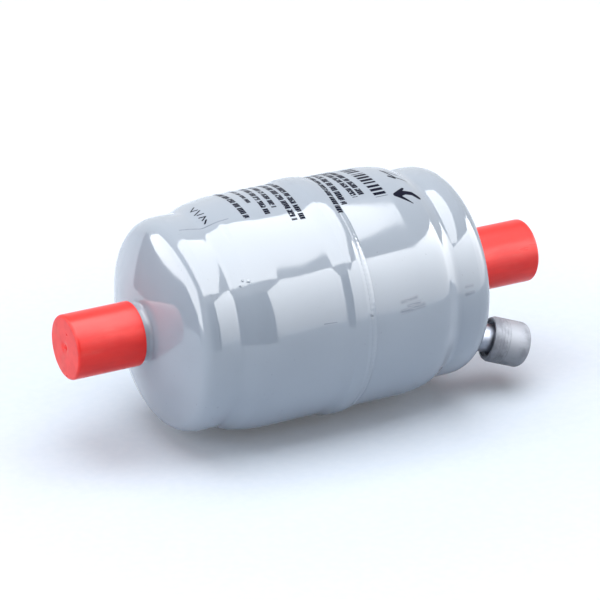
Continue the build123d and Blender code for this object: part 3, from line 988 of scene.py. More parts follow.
@dataclass
class Shell:
    """Two drawn cups, one belled over the other, and the weld between them."""

    radius: float = 38.1
    wall: float = 1.0
    outlet_apex: float = 23.8
    outlet_depth: float = 63.6
    inlet_apex: float = 141.3
    inlet_depth: float = 59.5
    crown: float = 80.0
    knuckle: float = 6.2
    shoulder_step: float = 3.15
    band_length: float = 2.47
    crown_drop: float = 0.1
    crown_drop_depth: float = 14.5
    crown_drop_radius: float = 25.0
    crown_drop_run: float = 8.0
    outlet_form: CupForm = CupForm(0.12, 3.8, 5.0, 16.2, Crease(24.3, 1.3, 2.2, 0.13))
    inlet_form: CupForm = CupForm(0.3, 4.8, 4.0, 15.2, Crease(24.5, 1.6, 5.0, 0.38))
    dent: Dent = Dent(24.4, 113.0, 0.75, 7.0, 0.28)
    bell_start: float = 52.8
    bell_full: float = 60.2
    bell_crest: float = 1.3
    bell_melt: float = 0.4
    bell_slip: float = 0.05
    bell_ridge: float = 0.06
    ridge_back: float = 2.7
    ridge_width: float = 0.45
    hole: float = 9.15
    weld_start: float = 62.25
    weld_end: float = 65.3
    weld_bulge: float = 0.42
    weld_fullness: float = 0.8
    weld_sunk: float = 0.1
    weld_toe: float = 0.02
    weld_root: float = 0.3
    ripple: float = 0.05
    ripples: int = 150
    enamel: Finish = field(default_factory=lambda: GlossEnamel("shell_enamel"))
    bare: Finish = field(default_factory=lambda: SheetSteel("shell_inside"))

    @property
    def bell(self) -> float:
        """Outside radius of the bell."""
        return self.radius + self.bell_slip + self.wall

    def side(self, form: CupForm, inset: float, end: float) -> Points:
        """Dome, knuckle, band, groove, taper and cylinder as arcs tangent to each other.

        Args:
            form: Groove and taper of the cup.
            inset: Distance under the outside surface.
            end: Depth at which the cylinder ends.

        Returns:
            Rows of depth from the dome's apex and radius.
        """
        band = self.radius - self.shoulder_step
        groove = band - form.groove_step
        knuckle_in = self.crown - self.knuckle
        dome_turn = degrees(asin((band - self.knuckle) / knuckle_in))
        knuckle_depth = self.crown - knuckle_in * cos(radians(dome_turn))
        crest = knuckle_depth + self.band_length
        bottom = crest + form.groove_run
        full = bottom + form.taper_run
        fall = (form.groove_run**2 + form.groove_step**2) / (2 * form.groove_step)
        rise = self.radius - groove
        climb = (form.taper_run**2 + rise**2) / (2 * rise)
        fall_turn = degrees(asin(form.groove_run / fall))
        climb_turn = degrees(asin(form.taper_run / climb))
        fall_arc, climb_arc = fall - form.groove_fillet, climb - form.groove_fillet
        crown = self.crown - inset
        hole_turn = degrees(asin(self.hole / crown))
        low = (bottom, groove + form.groove_fillet)
        return chain(
            arc((self.crown, 0), crown, 180 - hole_turn, 180 - dome_turn, 1.0),
            arc((knuckle_depth, band - self.knuckle), self.knuckle - inset, 180 - dome_turn, 90),
            line((knuckle_depth, band - inset), (crest, band - inset)),
            arc((crest, band - fall_arc), fall_arc - inset, 90, 90 - fall_turn),
            arc(low, form.groove_fillet + inset, 270 - fall_turn, 270 + climb_turn),
            arc((full, self.radius - climb_arc), climb_arc - inset, 90 + climb_turn, 90, 0.5),
            line((full, self.radius - inset), (end, self.radius - inset)),
        )

    def flank(self, inset: float) -> Points:
        """The flare from the cylinder to the bell: two arcs tangent to each other.

        Args:
            inset: Distance under the outside surface in mm.

        Returns:
            Rows of depth and radius.
        """
        run = self.bell_full - self.bell_start
        rise = self.bell - self.radius
        bend = (run**2 + rise**2) / (4 * rise)
        turn = degrees(asin(run / (2 * bend)))
        return chain(
            arc((self.bell_start, self.radius + bend), bend + inset, 270, 270 + turn),
            arc((self.bell_full, self.bell - bend), bend - inset, 90 + turn, 90),
        )

    def worn(self, form: CupForm, seed: int, height: float) -> Offset:
        """Waviness of a cup, whose taper swells slightly and whose band falls away towards its knuckle.

        The swelling is bell-shaped in depth, with its own width on either side. The fall is a parabola.

        Args:
            form: Shape of the cup.
            seed: Start of the random waves.
            height: Largest height of one wave in mm.

        Returns:
            A function of depth, radius and turn.
        """
        waves = waviness(seed, 60, height)
        crease = form.crease

        def offset(depth: Points, radius: Points, turn: Points) -> Points:
            """Waves and swelling less the fall of the band.

            Args:
                depth: Depth along the axis in mm.
                radius: Radius in mm.
                turn: Angle round the axis in radians.

            Returns:
                Extra radius in mm.
            """
            fall = self.crown_drop * np.clip((self.crown_drop_depth - depth) / self.band_length, 0, 1.5) ** 2
            width = np.where(depth < crease.depth, crease.before, crease.after)
            swell = crease.height * np.exp(-((depth - crease.depth) / width) ** 2)
            outer = np.clip((radius - self.crown_drop_radius) / self.crown_drop_run, 0, 1)
            return waves(depth, radius, turn) + swell - fall * outer

        return offset

    def outlet_cup(self) -> bpy.types.Object:
        """The cup with the bell: outside, the lip that the weld has melted down, then inside.

        Returns:
            The cup.
        """
        crest = self.bell_full + self.bell_crest
        share = np.linspace(0, 1, 12)[:, None]
        melted = np.hstack([crest + share * (self.outlet_depth - crest),
                            self.bell - self.bell_melt * (1 - np.cos(pi * share)) / 2])
        outside = chain(self.side(self.outlet_form, 0, self.bell_start), self.flank(0),
                        line(melted[0], melted[0]), melted)
        bottom = self.bell - self.wall
        inside = chain(self.side(self.outlet_form, self.wall, self.bell_start), self.flank(self.wall),
                       line((self.bell_full, bottom), (self.outlet_depth, bottom)))[::-1]
        ripple = self.worn(self.outlet_form, 3, 0.3)

        def offset(depth: Points, radius: Points, turn: Points) -> Points:
            """The cup's waviness, a faint draw ridge half way up the flare, and a small dent on the taper.

            Ridge and dent are bell-shaped in depth; the dent is bell-shaped round the cup as well.

            Args:
                depth: Depth along the axis in mm.
                radius: Radius in mm.
                turn: Angle round the axis in radians.

            Returns:
                Extra radius in mm.
            """
            ridge = self.bell_ridge * np.exp(
                -((depth - self.bell_full + self.ridge_back) / self.ridge_width) ** 2)
            dent, bearing = self.dent, np.degrees(turn)
            away = ((depth - dent.depth) / dent.length) ** 2 + ((bearing - dent.bearing) / dent.width) ** 2
            outside_only = radius > self.radius - 0.01
            return ripple(depth, radius, turn) + ridge * outside_only - dent.sink * np.exp(-away)

        axis = Axis.through((self.outlet_apex, 0, 0), (1, 0, 0), (0, 1, 0))
        return revolve("outlet_cup", axis, chain(outside, inside), segments=256, offset=offset,
                       inner_from=len(outside))

    def inlet_cup(self) -> bpy.types.Object:
        """The plain cup, whose rim is inside the bell.

        Returns:
            The cup.
        """
        outside = self.side(self.inlet_form, 0, self.inlet_depth)
        inside = self.side(self.inlet_form, self.wall, self.inlet_depth)[::-1]
        axis = Axis.through((self.inlet_apex, 0, 0), (-1, 0, 0), (0, 1, 0))
        return revolve("inlet_cup", axis, chain(outside, inside), segments=256,
                       offset=self.worn(self.inlet_form, 8, 0.08), inner_from=len(outside))

    def weld(self) -> bpy.types.Object:
        """The bead over the bell's lip: half a sine wave on the slope from lip to cup, with ripples.

        Returns:
            The bead.
        """
        high, low = self.bell - self.bell_melt - self.weld_sunk, self.radius + self.weld_toe
        share = np.linspace(0, 1, 25)
        depth = self.weld_start + share * (self.weld_end - self.weld_start)
        radius = high + (low - high) * share + self.weld_bulge * np.sin(pi * share) ** self.weld_fullness
        face = np.stack([depth, radius], 1)
        root, under = self.radius - self.weld_root, high - self.weld_root
        rim = self.outlet_depth + self.weld_sunk
        profile = chain(face, line(face[-1], (self.weld_end, root), (rim, root), (rim, under),
                                   (self.weld_start, under), face[0], step=0.5))

        def ripples(depth: Points, radius: Points, turn: Points) -> Points:
            """Overlapping scallops round the bead, highest on its face.

            Args:
                depth: Depth along the axis in mm.
                radius: Radius in mm.
                turn: Angle round the axis in radians.

            Returns:
                Extra radius in mm.
            """
            lift = np.clip((radius - self.radius) / 0.5, 0, 1)
            lap = np.sin(turn * self.ripples / 2 + 0.8 * np.sin(5 * turn)) ** 2
            return self.ripple * lift * (lap - 0.9)

        axis = Axis.through((self.outlet_apex, 0, 0), (1, 0, 0), (0, 1, 0))
        return revolve("seam_bead", axis, profile[:-1], segments=720, offset=ripples)

    def build(self) -> None:
        """Builds the cups and the weld."""
        take(self.outlet_cup(), Body.DRIER, Slot.ENAMEL, (self.enamel, self.bare), "outlet_shell")
        take(self.inlet_cup(), Body.DRIER, Slot.ENAMEL, (self.enamel, self.bare), "inlet_shell")
        take(self.weld(), Body.DRIER, Slot.ENAMEL, (self.enamel,), "seam_weld")


# ------------------------------------------------------------------ fittings and dust caps
@dataclass
class SolderFitting:
    """One end's fitting, its braze fillet and the dust cap over it.

    Depths are measured from the dome's apex, inwards. The gate is a dimple in the cap's end, with its
    radius and depth in mm; the other sizes of the gate are shares of that radius.
    """

    end: str
    apex: float
    inward: int
    cap_body: Body
    crown: float = 80.0
    projection: float = 23.8
    reach: float = 5.0
    bore: float = 8.0
    tube: float = 9.1
    stop: float = 7.0
    socket_depth: float = 16.0
    mouth_chamfer: float = 0.4
    fillet_leg: float = 1.15
    cap_wall: float = 1.37
    cap_clearance: float = 0.08
    cap_stand_off: float = 2.1
    cap_end_wall: float = 1.6
    cap_end_gap: float = 0.3
    cap_edge: float = 0.95
    cap_lip: float = 0.45
    gate: tuple[float, float] = (0.8, 0.14)
    gate_bend: float = 0.35
    gate_flat: float = 0.5
    gate_crest: float = 1.4
    gate_skirt: float = 2.2
    enamel: Finish = field(default_factory=lambda: GlossEnamel("fillet_enamel"))
    plastic: Finish = field(default_factory=lambda: SoftPlastic("cap_plastic"))

    @property
    def axis(self) -> Axis:
        """The flow axis, from the dome's apex inwards."""
        return Axis.through((self.apex, 0, 0), (self.inward, 0, 0), (0, 1, 0))

    def dome(self, radius: Any) -> Any:
        """Depth of the dome at a radius."""
        return self.crown - np.sqrt(self.crown**2 - np.square(radius))

    def fitting(self) -> bpy.types.Object:
        """The tube with its socket and stop.

        Returns:
            The fitting.
        """
        mouth, c = -self.projection, self.mouth_chamfer
        stop = mouth + self.socket_depth
        inner = (mouth, self.bore + 0.15)
        corners = (
            inner, (mouth, self.tube - c), (mouth + c, self.tube), (self.reach, self.tube),
            (self.reach, self.stop), (stop, self.stop), (stop, self.bore), (mouth + 0.15, self.bore), inner,
        )
        return revolve(f"{self.end}_tube", self.axis, line(*corners, step=0.8)[:-1], segments=128)

    def fillet(self) -> bpy.types.Object:
        """The concave braze fillet, whose leg wanders a little round the tube.

        Returns:
            The fillet.
        """
        share = np.linspace(0, 1, 25)
        sweep = pi / 2 * share
        high = self.fillet_leg * (1 - np.sin(sweep))
        wide = self.fillet_leg * (1 - np.cos(sweep))
        radius = self.tube + wide
        face = np.stack([self.dome(radius) - high, radius], 1)
        foot = np.stack([self.dome(radius[::-1]) + 0.3, radius[::-1]], 1)

        def wander(depth: Points, radius: Points, turn: Points) -> Points:
            """A slow wave round the tube that grows towards the fillet's toe."""
            out = np.clip((radius - self.tube) / self.fillet_leg, 0, 1)
            return out * (0.16 * np.sin(3 * turn + 1) + 0.1 * np.sin(7 * turn))

        return revolve(f"{self.end}_fillet", self.axis, chain(face, foot), segments=192, offset=wander)

    def dust_cap(self) -> bpy.types.Object:
        """The moulded cap: dimpled gate, flat end, rounded edge, rounded open lip.

        Returns:
            The dust cap.
        """
        inner = self.tube + self.cap_clearance
        outer = inner + self.cap_wall
        floor = -self.projection - self.cap_end_gap
        closed = floor - self.cap_end_wall
        rim = -self.cap_stand_off
        gate_radius, gate_depth = self.gate
        bend = gate_radius * self.gate_bend
        dimple = closed + gate_depth + bend
        edge, lip = self.cap_edge, self.cap_lip
        profile = chain(
            np.array([(dimple, 0.0), (dimple, gate_radius * self.gate_flat)]),
            arc((closed + bend, gate_radius), bend, 270, 90, 0.08),
            line((closed + bend, gate_radius * self.gate_crest), (closed, gate_radius * self.gate_skirt),
                 (closed, outer - edge)),
            arc((closed + edge, outer - edge), edge, 180, 90, 0.12),
            line((closed + edge, outer), (rim - lip, outer), step=0.6),
            arc((rim - lip, outer - lip), lip, 90, 0, 0.08),
            line((rim, outer - lip), (rim, inner + lip), step=0.3),
            arc((rim - lip, inner + lip), lip, 0, -90, 0.08),
            line((rim - lip, inner), (floor, inner), step=0.8),
            line((floor, inner), (floor, 0.0), step=0.8),
        )

        def give(depth: Points, radius: Points, turn: Points) -> Points:
            """The soft cap swells slightly over the tube's end and is a little out of round."""
            side = np.clip((radius - self.tube) / 1.4, 0, 1)
            return side * (0.02 * np.cos(2 * turn + 0.6) - 0.02)

        return revolve(f"{self.end}_cap", self.axis, profile, closed=False, segments=192, offset=give)

    def build(self) -> None:
        """Builds the fitting, its fillet and its cap."""
        paint_edge = self.apex - self.inward * (self.cap_stand_off + 0.9)
        tube = PaintedTube(f"{self.end}_tube_copper", edge=paint_edge, side=self.inward)
        take(self.fitting(), Body.DRIER, Slot.COPPER, (tube,), f"{self.end}_fitting")
        take(self.fillet(), Body.DRIER, Slot.ENAMEL, (self.enamel,), f"{self.end}_braze_ring")
        take(self.dust_cap(), self.cap_body, Slot.PLASTIC, (self.plastic,), f"{self.end}_dust_cap")


# ------------------------------------------------------------------ access valve
@dataclass
class AccessValve:
    """The angled valve stub on the inlet dome, its fillet, threads and metal cap."""

    inlet_apex: float = 141.3
    crown: float = 80.0
    offset: float = 24.2
    clock: float = -128.3
    tilt: float = 23.0
    stub: float = 4.8
    bore: float = 1.9
    seat_radius: float = 2.7
    seat_depth: float = 8.6
    seat_cone: float = 0.8
    reach: float = 4.0
    neck: float = 8.0
    thread: float = 5.5
    thread_length: float = 7.4
    nose_length: float = 1.8
    nose: float = 3.9
    pitch: float = 1.27
    fillet_leg: float = 2.2
    cap: float = 7.6
    cap_rim: float = 6.5
    cap_bore: float = 5.58
    cap_floor: float = 18.36
    cap_top: float = 19.96
    cap_edge: float = 3.0
    cap_chamfer: tuple[float, float] = (1.2, 0.55)
    cap_mouth: tuple[float, float] = (1.0, 6.35)
    cap_thread: float = 0.5
    groove_first: float = 1.8
    groove_pitch: float = 1.1
    groove_depth: float = 0.09
    grooves: int = 4
    coil_start: float = 10.02
    coil_height: float = 3.76
    coil_radius: float = 1.175
    coil_wire: float = 0.18
    coil_turns: int = 5
    pin_travel: float = 1.2
    enamel: Finish = field(default_factory=lambda: GlossEnamel("fillet_enamel"))

    @property
    def axis(self) -> Axis:
        """The valve's axis from its foot on the dome, tilted away from the flow axis.

        Returns:
            The axis.
        """
        clock, tilt = radians(self.clock), radians(self.tilt)
        outward = np.array([0, cos(clock), sin(clock)])
        depth = self.crown - sqrt(self.crown**2 - self.offset**2)
        foot = np.array([self.inlet_apex - depth, 0, 0]) + outward * self.offset
        along = np.array([cos(tilt), 0, 0]) + outward * sin(tilt)
        return Axis.through(foot, along, outward)

    def helix(self, start: float, end: float, height: float, inward: bool) -> Offset:
        """Thread: radius follows a rounded wave of the depth in pitches less the turn, fading at its ends.

        Args:
            start: Depth at which the thread starts, in mm.
            end: Depth at which it ends, in mm.
            height: Height of the thread in mm.
            inward: Whether the thread is cut in the cap's bore, not on the stub.

        Returns:
            A function of depth, radius and turn.
        """
        sign = -1.0 if inward else 1.0
        flats, run_out = 1.35, 0.8

        def offset(depth: Points, radius: Points, turn: Points) -> Points:
            """Half a wave of the thread's height, only on the threaded face.

            Args:
                depth: Depth along the axis in mm.
                radius: Radius in mm.
                turn: Angle round the axis in radians.

            Returns:
                Extra radius in mm.
            """
            phase = 2 * pi * depth / self.pitch - turn
            wave = 0.5 - 0.5 * np.clip(flats * np.cos(phase), -1, 1)
            fade = np.clip((depth - start) / run_out, 0, 1) * np.clip((end - depth) / run_out, 0, 1)
            face = np.abs(radius - (self.cap_bore if inward else self.thread)) < 0.01
            return -sign * height * wave * fade * face

        return offset

    def valve_neck(self) -> bpy.types.Object:
        """The stub: neck, thread, cone nose and bored seat.

        Returns:
            The stub.
        """
        thread_end = self.neck + self.thread_length
        tip = thread_end + self.nose_length
        seat = tip - self.seat_depth
        step = self.thread - self.stub
        profile = chain(
            line((-self.reach, self.bore), (-self.reach, self.stub), (self.neck - step, self.stub),
                 (self.neck, self.thread), step=0.5),
            line((self.neck, self.thread), (thread_end - step, self.thread), step=0.07),
            line((thread_end - step, self.thread), (thread_end, self.stub), (tip - 0.15, self.nose + 0.06),
                 (tip, self.nose - 0.1), (tip, self.seat_radius + 0.1), (tip - 0.1, self.seat_radius),
                 (seat, self.seat_radius), (seat - self.seat_cone, self.bore),
                 (-self.reach, self.bore), step=0.5),
        )[:-1]
        thread = self.helix(self.neck - 0.2, thread_end - step + 0.2, 0.62, False)
        return revolve("valve_neck", self.axis, profile, segments=96, offset=thread)

    def fillet(self) -> bpy.types.Object:
        """The braze fillet at the stub's foot, laid on the dome.

        A point at share s of the fillet and turn t stands above the dome by the leg times one less
        the sine of a quarter turn of s, and out from the stub by the leg times one less its cosine.

        Returns:
            The fillet.
        """
        axis = self.axis
        segments, rows = 96, 25
        turn = np.linspace(0, 2 * pi, segments, endpoint=False)
        sweep = pi / 2 * np.linspace(0, 1, rows)
        out = self.stub - 0.1 + (self.fillet_leg + 0.1) * (1 - np.cos(sweep))
        out = out[:, None] + (1 - np.cos(sweep))[:, None] * 0.15 * np.sin(3 * turn + 2)
        high = self.fillet_leg * (1 - np.sin(sweep))[:, None] * np.ones(segments)
        angle = np.broadcast_to(turn, out.shape)
        centre = np.array([self.inlet_apex - self.crown, 0, 0])
        flat = axis.surface(np.zeros_like(out), out, angle) - centre
        ahead = flat @ axis.along
        drop = -ahead + np.sqrt(ahead**2 - (flat**2).sum(-1) + self.crown**2)
        top = flat + centre + (drop + high)[..., None] * axis.along
        under = (flat + centre + (drop - 0.4)[..., None] * axis.along)[::-1]
        grid = np.vstack([top, under])
        ring = np.arange(2 * rows * segments).reshape(2 * rows, segments)
        upper, ahead_ring = np.roll(ring, -1, 0), np.roll(ring, -1, 1)
        faces = np.stack([ring, ahead_ring, np.roll(upper, -1, 1), upper], -1).reshape(-1, 4)
        points = grid.reshape(-1, 3)
        return make_mesh("valve_fillet", points, faces if volume(points, faces) > 0 else faces[:, ::-1])

    def metal_cap(self) -> bpy.types.Object:
        """The turned cap: threaded bore, chamfered rim, four fine grooves, round end.

        Returns:
            The cap.
        """
        edge, (chamfer, cut), (mouth, wide) = self.cap_edge, self.cap_chamfer, self.cap_mouth
        grooves = [self.cap_rim + self.groove_first + k * self.groove_pitch for k in range(self.grooves)]
        d = self.groove_depth
        side = [(self.cap_rim + chamfer, self.cap)]
        for g0 in grooves:
            side += [(g0 - d, self.cap), (g0, self.cap - d), (g0 + d, self.cap)]
        side.append((self.cap_top - edge, self.cap))
        profile = chain(
            line((self.cap_floor, 0), (self.cap_floor, self.cap_bore), step=0.8),
            line((self.cap_floor, self.cap_bore), (self.cap_rim + mouth, self.cap_bore), step=0.09),
            line((self.cap_rim + mouth, self.cap_bore), (self.cap_rim + 0.6 * mouth, wide),
                 (self.cap_rim, wide), (self.cap_rim, self.cap - cut), (self.cap_rim + chamfer, self.cap),
                 step=0.3),
            line(*side, step=0.5),
            arc((self.cap_top - edge, self.cap - edge), edge, 90, 0, 0.15),
            line((self.cap_top, self.cap - edge), (self.cap_top, 0), step=0.6),
        )
        thread = self.helix(self.cap_rim + mouth + 0.3, self.cap_floor - 1.6, self.cap_thread, True)
        return revolve("metal_cap", self.axis, profile, closed=False, segments=144, offset=thread)

    def coil(self) -> bpy.types.Object:
        """The valve core's spring: a round wire carried along a helix, with flat ends.

        The helix rises by its height times a share while it turns by its laps times the same share. A
        point of the wire lies at the helix plus the wire's radius times the cosine of the section's
        bearing outwards and its sine square to the wire.

        Returns:
            The spring.
        """
        axis = self.axis
        share = np.linspace(0, 1, self.coil_turns * 40 + 1)
        turn = 2 * pi * self.coil_turns * share
        climb = self.coil_start + self.coil_height * share
        helix = axis.surface(climb, np.full_like(share, self.coil_radius), turn)
        out = axis.surface(np.zeros_like(share), np.ones_like(share), turn) - axis.origin
        run = np.gradient(helix, axis=0)
        square = np.cross(run / np.linalg.norm(run, axis=1, keepdims=True), out)
        section = np.linspace(0, 2 * pi, 12, endpoint=False)[:, None]
        around = np.cos(section) * out[:, None] + np.sin(section) * square[:, None]
        rings = helix[:, None] + self.coil_wire * around
        ring = np.arange(len(share) * len(section)).reshape(len(share), -1)
        ahead = np.roll(ring, -1, 1)
        sides = np.stack([ring[:-1], ahead[:-1], ahead[1:], ring[1:]], -1).reshape(-1, 4)
        middle, blank = np.full(len(section), ring.size), np.full(len(section), -1)
        first = np.stack([middle, ahead[0], ring[0], blank], 1)
        last = np.stack([middle + 1, ring[-1], ahead[-1], blank], 1)
        points = np.vstack([rings.reshape(-1, 3), helix[:1], helix[-1:]])
        return make_mesh("valve_coil", points, np.vstack([sides, first, last]))

    def build(self) -> None:
        """Builds the visible pieces and dresses the valve core."""
        turned = tuple(float(v) for v in self.axis.along)
        stub = TurnedMetal("stub_steel", (0.31, 0.33, 0.38), (0.23, 0.25, 0.3), turned, 0.3, (0.32, 0.45))
        nickel = TurnedMetal("cap_nickel", (0.25, 0.262, 0.29), (0.165, 0.173, 0.2), turned,
                             rough=(0.6, 0.75), bare=0.45)
        brass = TurnedMetal("valve_brass", (0.85, 0.63, 0.3), (0.62, 0.45, 0.22), turned, 0.18)
        take(self.valve_neck(), Body.DRIER, Slot.STUB, (stub,), "valve_stub")
        take(self.fillet(), Body.DRIER, Slot.ENAMEL, (self.enamel,), "valve_braze_ring")
        take(self.metal_cap(), Body.ACCESS_CAP, Slot.NICKEL, (nickel,), "access_cap")
        rubber = SoftSeal("seal_rubber")
        ptfe = SoftSeal("seal_ptfe", (0.8, 0.8, 0.77), (0.88, 0.88, 0.86), 500.0, 0.01, (0.35, 0.5))
        for node, finish in {
            "access_cap_seal": rubber,
            "valve_pin_seal": rubber,
            "valve_barrel": brass,
            "valve_pin": brass,
            "valve_gasket": ptfe,
        }.items():
            dress(node, finish)
        coil = self.coil()
        wire = SheetSteel("valve_spring_wire", (0.55, 0.55, 0.58), (0.4, 0.4, 0.42))
        take(coil, Body.DRIER, Slot.SPRING, (wire,), "valve_spring")
        foot = self.axis.origin + self.axis.along * (self.coil_start - self.coil_wire)
        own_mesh(coil)


# ------------------------------------------------------------------ inside the shell
@dataclass
class FilterInside:
    """The filter's pieces, which keep their CAD shape."""

    def build(self) -> None:
        """Dresses each piece."""
        steel = SheetSteel("plate_steel", grain=(60.0, 700.0, 60.0))
        felt = SoftSeal("pad_felt", (0.8, 0.79, 0.74), (0.9, 0.89, 0.86), 1200.0, 0.15, (0.85, 0.98))
        for node, finish in {
            "outlet_plate": steel,
            "core_retainer": steel,
            "core_spring": SheetSteel("core_spring_wire", (0.4, 0.4, 0.42), (0.22, 0.2, 0.19), (200.0,) * 3),
            "outlet_screen": Gauze("screen_brass"),
            "filter_pad": felt,
            "desiccant_core": PorousBlock("core_block"),
        }.items():
            dress(node, finish)


# ------------------------------------------------------------------ studio
STUDIO_WHITE: Colour = (0.97, 0.985, 1.0)


@dataclass(frozen=True)
class Softbox:
    """A rectangular softbox: its face as glossy surfaces mirror it, or the light that it casts.

    Args:
        name: Name of the lamp.
        at: Its centre in metres.
        aim: The point that it faces.
        size: Width and height in metres.
        radiance: Brightness of its face, where white is 1.
        mirrored: Whether it is the face that is mirrored; if not, it is the light that is cast.
        fade: Brightness at its lower left and lower right as shares of that at its upper edge.
        left: Brightness at its left edge as a share of that at its right edge.
    """

    name: str
    at: tuple[float, float, float]
    aim: tuple[float, float, float]
    size: tuple[float, float]
    radiance: float
    mirrored: bool
    fade: tuple[float, float] = (1.0, 1.0)
    left: float = 1.0

    def build(self) -> None:
        """Makes the lamp, with its brightness fading over its face."""
        light = bpy.data.lights.new(self.name, "AREA")
        light.shape = "RECTANGLE"
        light.size, light.size_y = self.size
        light.energy = self.radiance * pi * self.size[0] * self.size[1]
        light.use_nodes = True
        g = Graph(light.node_tree)
        across, up, _ = g.split(g.add("NewGeometry").outputs["Parametric"])
        lower = g.remap(across, 0.0, 1.0, *self.fade)
        upright = g.plus(lower, g.times(up, g.minus(1.0, lower)))
        strength = g.times(upright, g.remap(across, 0.0, 1.0, self.left, 1.0))
        g.add("OutputLight", {0: g.add("Emission", {0: STUDIO_WHITE, 1: strength}).outputs[0]})
        body = bpy.data.objects.new(self.name, light)
        bpy.context.scene.collection.objects.link(body)
        at = Vector(self.at)
        turn = (at - Vector(self.aim)).normalized().to_track_quat("Z", "Y").to_matrix()
        body.matrix_world = Matrix.Translation(at) @ turn.to_4x4()
        body.visible_camera = False
        body.visible_glossy, body.visible_diffuse = self.mirrored, not self.mirrored


SOFTBOXES = (
    Softbox("top_face", (0.038, -0.24, 1.1), (0.038, -0.24, 0.0), (1.28, 1.52), 6.6, True),
    Softbox("top_light", (0.1, -0.02, 1.15), (0.1, 0.0, 0.0), (1.2, 1.3), 3.9, False),
    Softbox("side_face", (0.427, -0.247, 0.173), (0.13, 0.05, 0.173), (0.755, 0.424), 12.0, True,
            fade=(0.15, 0.28), left=0.54),
    Softbox("side_light", (1.2, -0.5, 0.5), (0.08, 0.0, 0.0), (1.2, 0.9), 1.3, False),
    Softbox("left_face", (-1.2, 0.8, 0.5), (0.03, 0.8, 0.5), (2.7, 1.0), 6.0, True),
    Softbox("left_light", (-1.1, 0.1, 0.6), (0.03, 0.0, 0.0), (1.4, 0.9), 2.6, False),
)


@dataclass
class Studio:
    """Floor, softboxes, cards, world and camera.

    The camera is given by its place in mm and its two screen directions. Cards stand on the floor.
    """

    floor_height: float = -39.15
    floor_half: float = 4000.0
    camera_at: tuple[float, float, float] = (-418.73, -922.07, 450.34)
    right: tuple[float, float, float] = (0.87876, -0.47726, 0.0)
    up: tuple[float, float, float] = (0.18855, 0.34717, 0.91865)
    lens: float = 211.31
    sensor: float = 36.0
    far: float = 50.0
    fill: float = 0.1
    card_black: Colour = (0.02, 0.022, 0.025)
    card_foot: float = -0.039
    camera_card_top: float = 0.205
    dome_card_top: float = 0.03
    dome_card_radius: float = 0.2

    def camera(self) -> None:
        """Places the camera from its two screen directions."""
        made = bpy.data.cameras.new("camera")
        made.lens, made.sensor_width = self.lens, self.sensor
        made.clip_end = self.far
        body = bpy.data.objects.new("camera", made)
        bpy.context.scene.collection.objects.link(body)
        right, up = Vector(self.right), Vector(self.up)
        turn = Matrix((right, up, right.cross(up))).transposed()
        body.matrix_world = Matrix.Translation(Vector(self.camera_at) * MM) @ turn.to_4x4()
        bpy.context.scene.camera = body

    def card(self, name: str, corners: Sequence[tuple[float, float]], high: float) -> None:
        """A black card that stands on the floor and shows only in reflections.

        Args:
            name: Name of the card.
            corners: Its line on the floor in metres.
            high: Height of its upper edge in metres.
        """
        count = len(corners)
        edges = [np.c_[np.array(corners), np.full(count, height)] for height in (self.card_foot, high)]
        points = np.vstack(edges) / MM
        first = np.arange(count - 1)
        made = make_mesh(name, points, np.stack([first, first + 1, first + 1 + count, first + count], 1))
        black = bpy.data.materials.get("card_black") or bpy.data.materials.new("card_black")
        black.use_nodes = True
        g = Graph(black.node_tree)
        g.finish(g.add("BsdfDiffuse", {0: self.card_black}))
        made.data.materials.append(black)
        made.visible_camera = made.visible_diffuse = made.visible_shadow = made.visible_transmission = False

    def world(self) -> None:
        """A white world where it is seen or mirrored, and a plain fill elsewhere."""
        world = bpy.data.worlds.new("studio")
        bpy.context.scene.world = world
        world.use_nodes = True
        g = Graph(world.node_tree)
        strength = g.remap(g.seen(), 0.0, 1.0, self.fill, 1.0)
        g.finish(g.add("Background", {0: STUDIO_WHITE, 1: strength}))

    def floor(self) -> None:
        """A plain floor that renders white and keeps the shadow.

        Where it is seen it glows a little, more so far from the drier, so that it stays white there.
        """
        half, z = self.floor_half, self.floor_height
        points = np.array([(-half, -half, z), (half, -half, z), (half, half, z), (-half, half, z)])
        made = make_mesh("floor", points, np.array([[0, 1, 2, 3]]))
        paper = bpy.data.materials.new("floor_paper")
        paper.use_nodes = True
        g = Graph(paper.node_tree)
        where = g.place()
        fibre = g.noise(where, 350.0, 3.0)
        colour = g.blend(g.remap(fibre, 0.3, 0.7), (0.57, 0.63, 0.71), (0.59, 0.645, 0.72))
        x, y, _ = g.split(where)
        away = g.math("SQRT", g.total([g.times(v, v) for v in (g.minus(x, 0.08), y)]))
        lift = g.plus(g.remap(away, 0.05, 0.25, 0.1, 0.33), g.remap(away, 0.6, 2.5, 0.0, 0.8))
        lift = g.times(g.seen(), lift)
        terms = {"Base Color": colour, "Roughness": 0.9, "Emission Color": (0.97, 0.98, 1.0),
                 "Emission Strength": lift, "Specular IOR Level": 0.1}
        g.principled(terms)
        made.data.materials.append(paper)

    def build(self) -> None:
        """Builds the studio."""
        bpy.context.scene.view_settings.view_transform = "Standard"
        self.camera()
        self.world()
        self.floor()
        for softbox in SOFTBOXES:
            softbox.build()
        self.card("camera_card", ((-0.10, -0.27), (0.105, -0.27)), self.camera_card_top)
        reach, bearings = self.dome_card_radius, np.radians(np.linspace(-158, -80, 12))
        round_dome = [(0.024 + reach * sin(b), -reach * cos(b)) for b in bearings]
        self.card("dome_card", round_dome, self.dome_card_top)
        log.info("studio: floor, %d softboxes, two cards, camera", len(SOFTBOXES))


